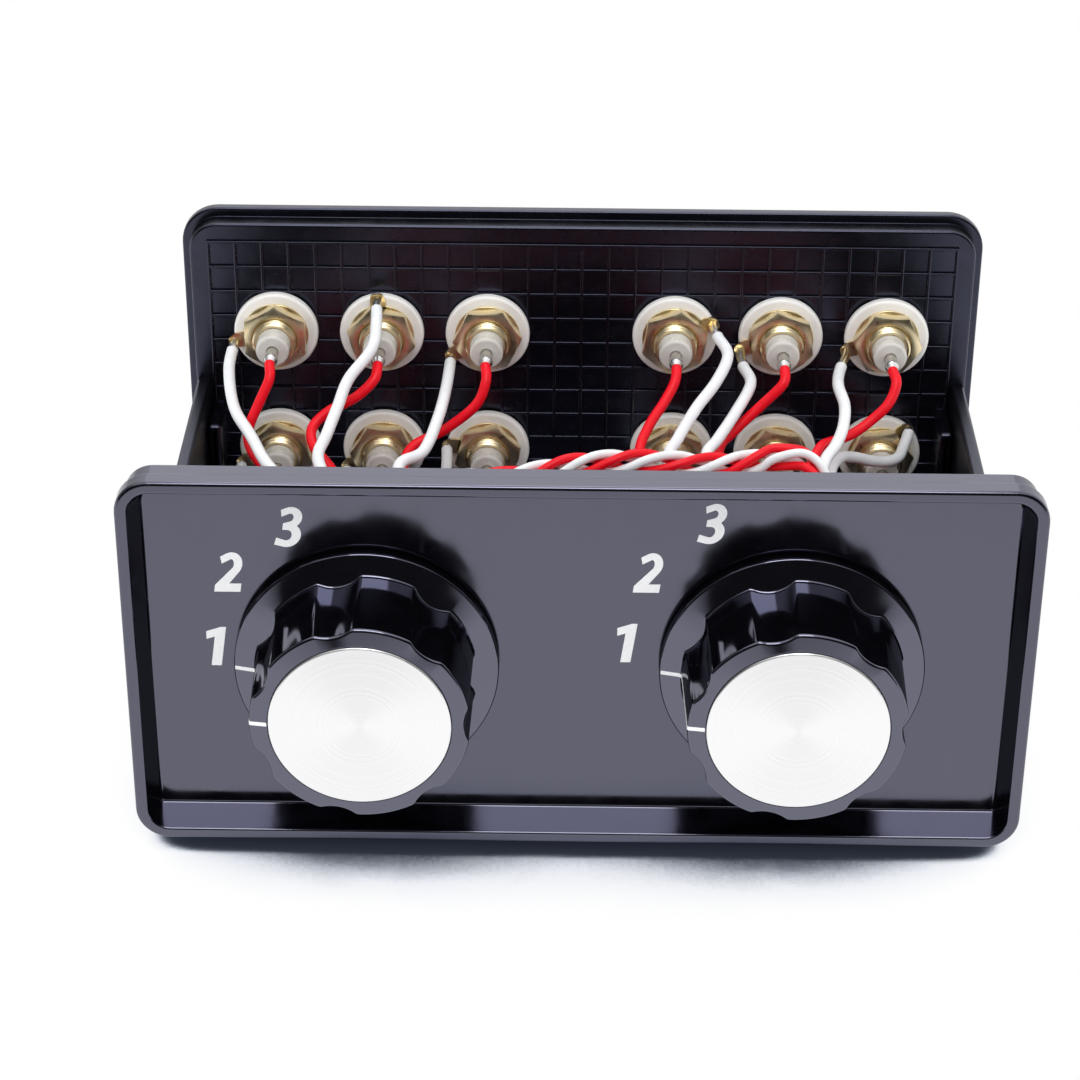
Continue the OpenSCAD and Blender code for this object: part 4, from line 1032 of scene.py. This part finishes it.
def head(path, length):
    """Start of a path, up to a length along it."""
    taken, part = 0, [path[0]]
    for p in path[1:]:
        part.append(p)
        taken += (part[-1] - part[-2]).length
        if taken > length:
            break
    return part


def trimmed(path, first, last):
    """Path without a length at each end."""
    for cut in (first, last):
        left = cut
        while left > (path[1] - path[0]).length:
            left -= (path[1] - path[0]).length
            path = path[1:]
        path = [path[0] + (path[1] - path[0]).normalized() * left] + path[1:]
        path = path[::-1]
    return path


def contact_tip(side, angle, r):
    return Vector((AXIS[side].x, TERMINAL_END, AXIS[side].z)) + polar(angle, r)


def twisted(phase):
    """Points of one link wire round the links' common axis."""
    axis = smooth(LINK_AXIS, TWIST_STEP)
    last = len(axis) - 1
    path = []
    for i, p in enumerate(axis):
        t = tangent(axis, i)
        n = t.cross(Vector((0, 0, 1))).normalized()
        a = radians(phase + 360 * TWIST_TURNS * i / last)
        path.append(p + TWIST_R * (cos(a) * n + sin(a) * n.cross(t)))
    return path


def solder(start_r, peak_r, length):
    """Solder fillet along +Y from a flat face, drawn in towards the wire."""
    return fillet([(0, 0, 0), (start_r, 0, 0.15), (peak_r, 0.3 * length, 0.3), (0.45, length, 0.2),
                   (0, length, 0)], 4)


def wires():
    bare, joints, tails = Shape(), Shape(), Shape()
    forward = Matrix.Rotation(pi, 4, "Z")

    def lay(shape, path, radius, bare_start=BARE_LEN):
        shape.add(tube(trimmed(path, bare_start, BARE_LEN), radius))
        for end, length in ((path, bare_start), (path[::-1], BARE_LEN)):
            bare.add(tube(head(end, length + BARE_LEN), BARE_R, 10))

    def joint(size, seat, turned_by=Matrix()):
        joints.add(turned(solder(*size), segments=SMALL_ROUND), Matrix.Translation(seat) @ turned_by)

    for side in SIDES:
        for name, slot, material, slots, routes in KINDS:
            shape = Shape()
            for (row, col), jack in JACK.items():
                if (col < LEFT_COLS) != (side == "left"):
                    continue
                start = Vector((jack.x, TAIL_IN, jack.z))
                tail = BARE_LEN
                if name == "ground":
                    start = Vector((jack.x, LUG_IN, jack.z)) + polar(LUG_ANGLES[row][col], LUG_REACH)
                    tail = LUG_TAILS[row][col]
                else:
                    joint(TAIL_SOLDER, start + TAIL_SEAT, forward)
                end = contact_tip(side, slots[row][col], OUTER_R)
                joint(PIN_SOLDER, end + PIN_SEAT)
                path = smooth([start, start - LEAD, *routes[row][col], end + LEAD, end], FINE_STEP)
                lay(shape, path, WIRE_R[name], tail)
                if name == "ground":
                    tails.add(strip(head(path, tail - 0.3), LUG_TAIL_HALF, LUG_TAIL_THICK))
                    joints.add(tube(trimmed(head(path, tail + 0.5), tail - 0.9, 0), LUG_SOLDER_R, 10))
            shape.build(f"{side}_{name}_leads", slot, [material], [f"{side}_{name}_wires"])
    for first, (name, slot, material, _, _) in enumerate(KINDS):
        shape = Shape()
        for pole in range(first, POLES, 2):
            angle = 360 / POLES * (pole + 0.5)
            start, end = contact_tip("left", angle, COMMON_R), contact_tip("right", 180 - angle, COMMON_R)
            for tip in (start, end):
                joint(PIN_SOLDER, tip + PIN_SEAT)
            lay(shape, smooth([start, start + LEAD, *twisted(angle), end + LEAD, end], FINE_STEP), LINK_R)
        shape.build(f"link_{name}_leads", slot, [material], [f"link_{name}_wires"])
    bare.build("bare_wire_ends", "tinned_brass", [TIN])
    joints.build("solder_joints", "tinned_brass", [SOLDER])
    tails.build("lug_tails", "gilt_brass", [GILT])


front_panel()
rear_panel()
lower_shell()
rubber_feet()
digits()
jack_set()
wires()
for side in SIDES:
    knob(side)
    pointer(side)
    knob_cap(side)
    switch(side)

# Solids that keep their own shape and get a finish
KEPT = {"knob_bush": BRASS, "set_screw": STEEL, "switch_shaft": STEEL, "switch_rotor": NYLON,
        "wipers": BRASS, "detent_ball": STEEL, "detent_spring": STEEL}
for side in SIDES:
    for name, material in KEPT.items():
        mesh = frame["nodes"][side + "_" + name].data
        mesh.materials.clear()
        mesh.materials.append(material)


# Floor, light and camera
def reckoned(owner, operation, first, second):
    """Socket with the result of an operation on two sockets."""
    new = node(owner, "ShaderNodeMath")
    new.operation = operation
    link(owner, first, new, 0)
    link(owner, second, new, 1)
    return new.outputs[0]


def ray_mask(owner, kinds):
    """Socket that is 1 for the named kinds of ray."""
    path = node(owner, "ShaderNodeLightPath")
    total = path.outputs[kinds[0]]
    for kind in kinds[1:]:
        total = reckoned(owner, "MAXIMUM", total, path.outputs[kind])
    return total


def either(owner, first, second, mask):
    """Socket that goes from one value to another as a mask goes from 0 to 1."""
    mix = node(owner, "ShaderNodeMix")
    for socket, value in (("A", first), ("B", second), ("Factor", mask)):
        if isinstance(value, float):
            mix.inputs[socket].default_value = value
        else:
            link(owner, value, mix, socket)
    return mix.outputs["Result"]


# The room is white; glossy surfaces find it dim in front and on the left
MIRRORED = ("Is Glossy Ray", "Is Transmission Ray")
SEEN = ("Is Camera Ray", *MIRRORED)
DIM = 0.02
DIFFUSE_LEVEL = 0.92
AHEAD_FROM, AHEAD_TO = 0.0, -0.35
ASIDE_FROM, ASIDE_TO, ASIDE_SHARE = -0.3, -0.7, 0.7
LOW_FROM, LOW_TO = 0.8, 0.6
world = bpy.data.worlds.new("studio")
bpy.context.scene.world = world
world.use_nodes = True
sky = world.node_tree.nodes["Background"]
sky.inputs["Color"].default_value = (1, 1, 1, 1)
way = node(world, "ShaderNodeSeparateXYZ")
link(world, coords(world, "Generated"), way, "Vector")
ahead = spread(world, way.outputs["Y"], AHEAD_FROM, AHEAD_TO, 0.0, 1.0)
aside = spread(world, way.outputs["X"], ASIDE_FROM, ASIDE_TO, 0.0, ASIDE_SHARE)
low = spread(world, way.outputs["Z"], LOW_FROM, LOW_TO, 0.0, 1.0)
dimmed = reckoned(world, "MULTIPLY", reckoned(world, "MAXIMUM", ahead, aside), low)
room = spread(world, dimmed, 0.0, 1.0, 1.0, DIM)
unseen = either(world, DIFFUSE_LEVEL, room, ray_mask(world, MIRRORED))
link(world, either(world, unseen, 1.0, ray_mask(world, SEEN[:1])), sky, "Strength")

# The floor shows white, with a painted shadow: an ambient-occlusion ramp darkens its glow where the object closes
# it in, instead of a shadow cast by the lamps.
# It fades in reflections, and more so in reflections of reflections
AGAIN = 0.3
FADE_FROM, FADE_TO = -0.145, -0.3
REACH = 4.0
SHADE_REACH = 0.05
# Dark bluish tones of the painted shadow, by how open the floor is round each point
PAINTED_SHADOW_TONES = ((0.34, (0.03, 0.036, 0.05)), (0.37, (0.07, 0.08, 0.1)), (0.41, (0.25, 0.28, 0.34)),
         (0.425, (0.56, 0.6, 0.68)), (0.44, (0.74, 0.77, 0.84)), (0.47, (0.85, 0.87, 0.92)))
mesh = bpy.data.meshes.new("floor")
square = [(-REACH, -REACH, 0), (REACH, -REACH, 0), (REACH, REACH, 0), (-REACH, REACH, 0)]
mesh.from_pydata(square, [], [(0, 1, 2, 3)])
floor = placed("floor", mesh)
pale = finish("pale_floor", (0.92, 0.92, 0.93), 0.6, 0, {"Specular IOR Level": 0.2})
mesh.materials.append(pale)
# Painted shadow: the occlusion picks tones from this ramp, darkest under and beside the object
shade = node(pale, "ShaderNodeAmbientOcclusion", Distance=SHADE_REACH)
shade.samples = 32
painted_shadow_ramp = node(pale, "ShaderNodeValToRGB")
stops = painted_shadow_ramp.color_ramp.elements
stops[0].color = (0.008, 0.01, 0.018, 1)
stops[1].color = (1, 1, 1, 1)
stops[1].position = 0.6
for place, colour in PAINTED_SHADOW_TONES:
    stops.new(place).color = (*colour, 1)
link(pale, shade.outputs["AO"], painted_shadow_ramp, "Fac")
glow = node(pale, "ShaderNodeEmission")
link(pale, painted_shadow_ramp.outputs["Color"], glow, "Color")
place = node(pale, "ShaderNodeSeparateXYZ")
link(pale, coords(pale), place, "Vector")
faded = spread(pale, place.outputs["Y"], FADE_FROM, FADE_TO, 1.0, DIM)
bounces = node(pale, "ShaderNodeLightPath").outputs["Glossy Depth"]
faded = reckoned(pale, "MULTIPLY", faded, spread(pale, bounces, 1.0, 2.0, 1.0, AGAIN))
link(pale, either(pale, 1.0, faded, ray_mask(pale, MIRRORED)), glow, "Strength")
mixed = node(pale, "ShaderNodeMixShader")
link(pale, ray_mask(pale, SEEN), mixed, "Fac")
link(pale, shader_of(pale).outputs["BSDF"], mixed, 1)
link(pale, glow.outputs["Emission"], mixed, 2)
link(pale, mixed.outputs["Shader"], pale.node_tree.nodes["Material Output"], "Surface")


TARGET = Vector((0, 0, 0.03))


def softbox(name, place, size, power):
    """Square area lamp that faces the object."""
    lamp = bpy.data.lights.new(name, "AREA")
    lamp.shape = "SQUARE"
    lamp.size = size
    lamp.energy = power
    holder = placed(name, lamp)
    holder.location = place
    holder.rotation_euler = (TARGET - Vector(place)).to_track_quat("-Z", "Y").to_euler()


softbox("overhead", (0, -0.45, 0.95), 0.5, 3.2)
softbox("top", (0, 0.55, 0.95), 0.5, 1.4)
softbox("back", (0, 1.2, 0.72), 0.8, 0.8)

PITCH, YAW, ROLL = 0.5219, 0.0106, 0.0062
EYE = (-0.0019, -0.40485, 0.2606)
camera = bpy.data.cameras.new("camera")
camera.sensor_width = 36.0
camera.lens = 99.1
camera.clip_start = 0.01
eye = placed("camera", camera)
eye.location = EYE
aim = Matrix.Rotation(YAW, 4, "Z") @ Matrix.Rotation(pi / 2 - PITCH, 4, "X")
aim = aim @ Matrix.Rotation(ROLL, 4, "Z")
eye.rotation_euler = aim.to_euler()
bpy.context.scene.camera = eye
bpy.context.scene.view_settings.view_transform = "Standard"
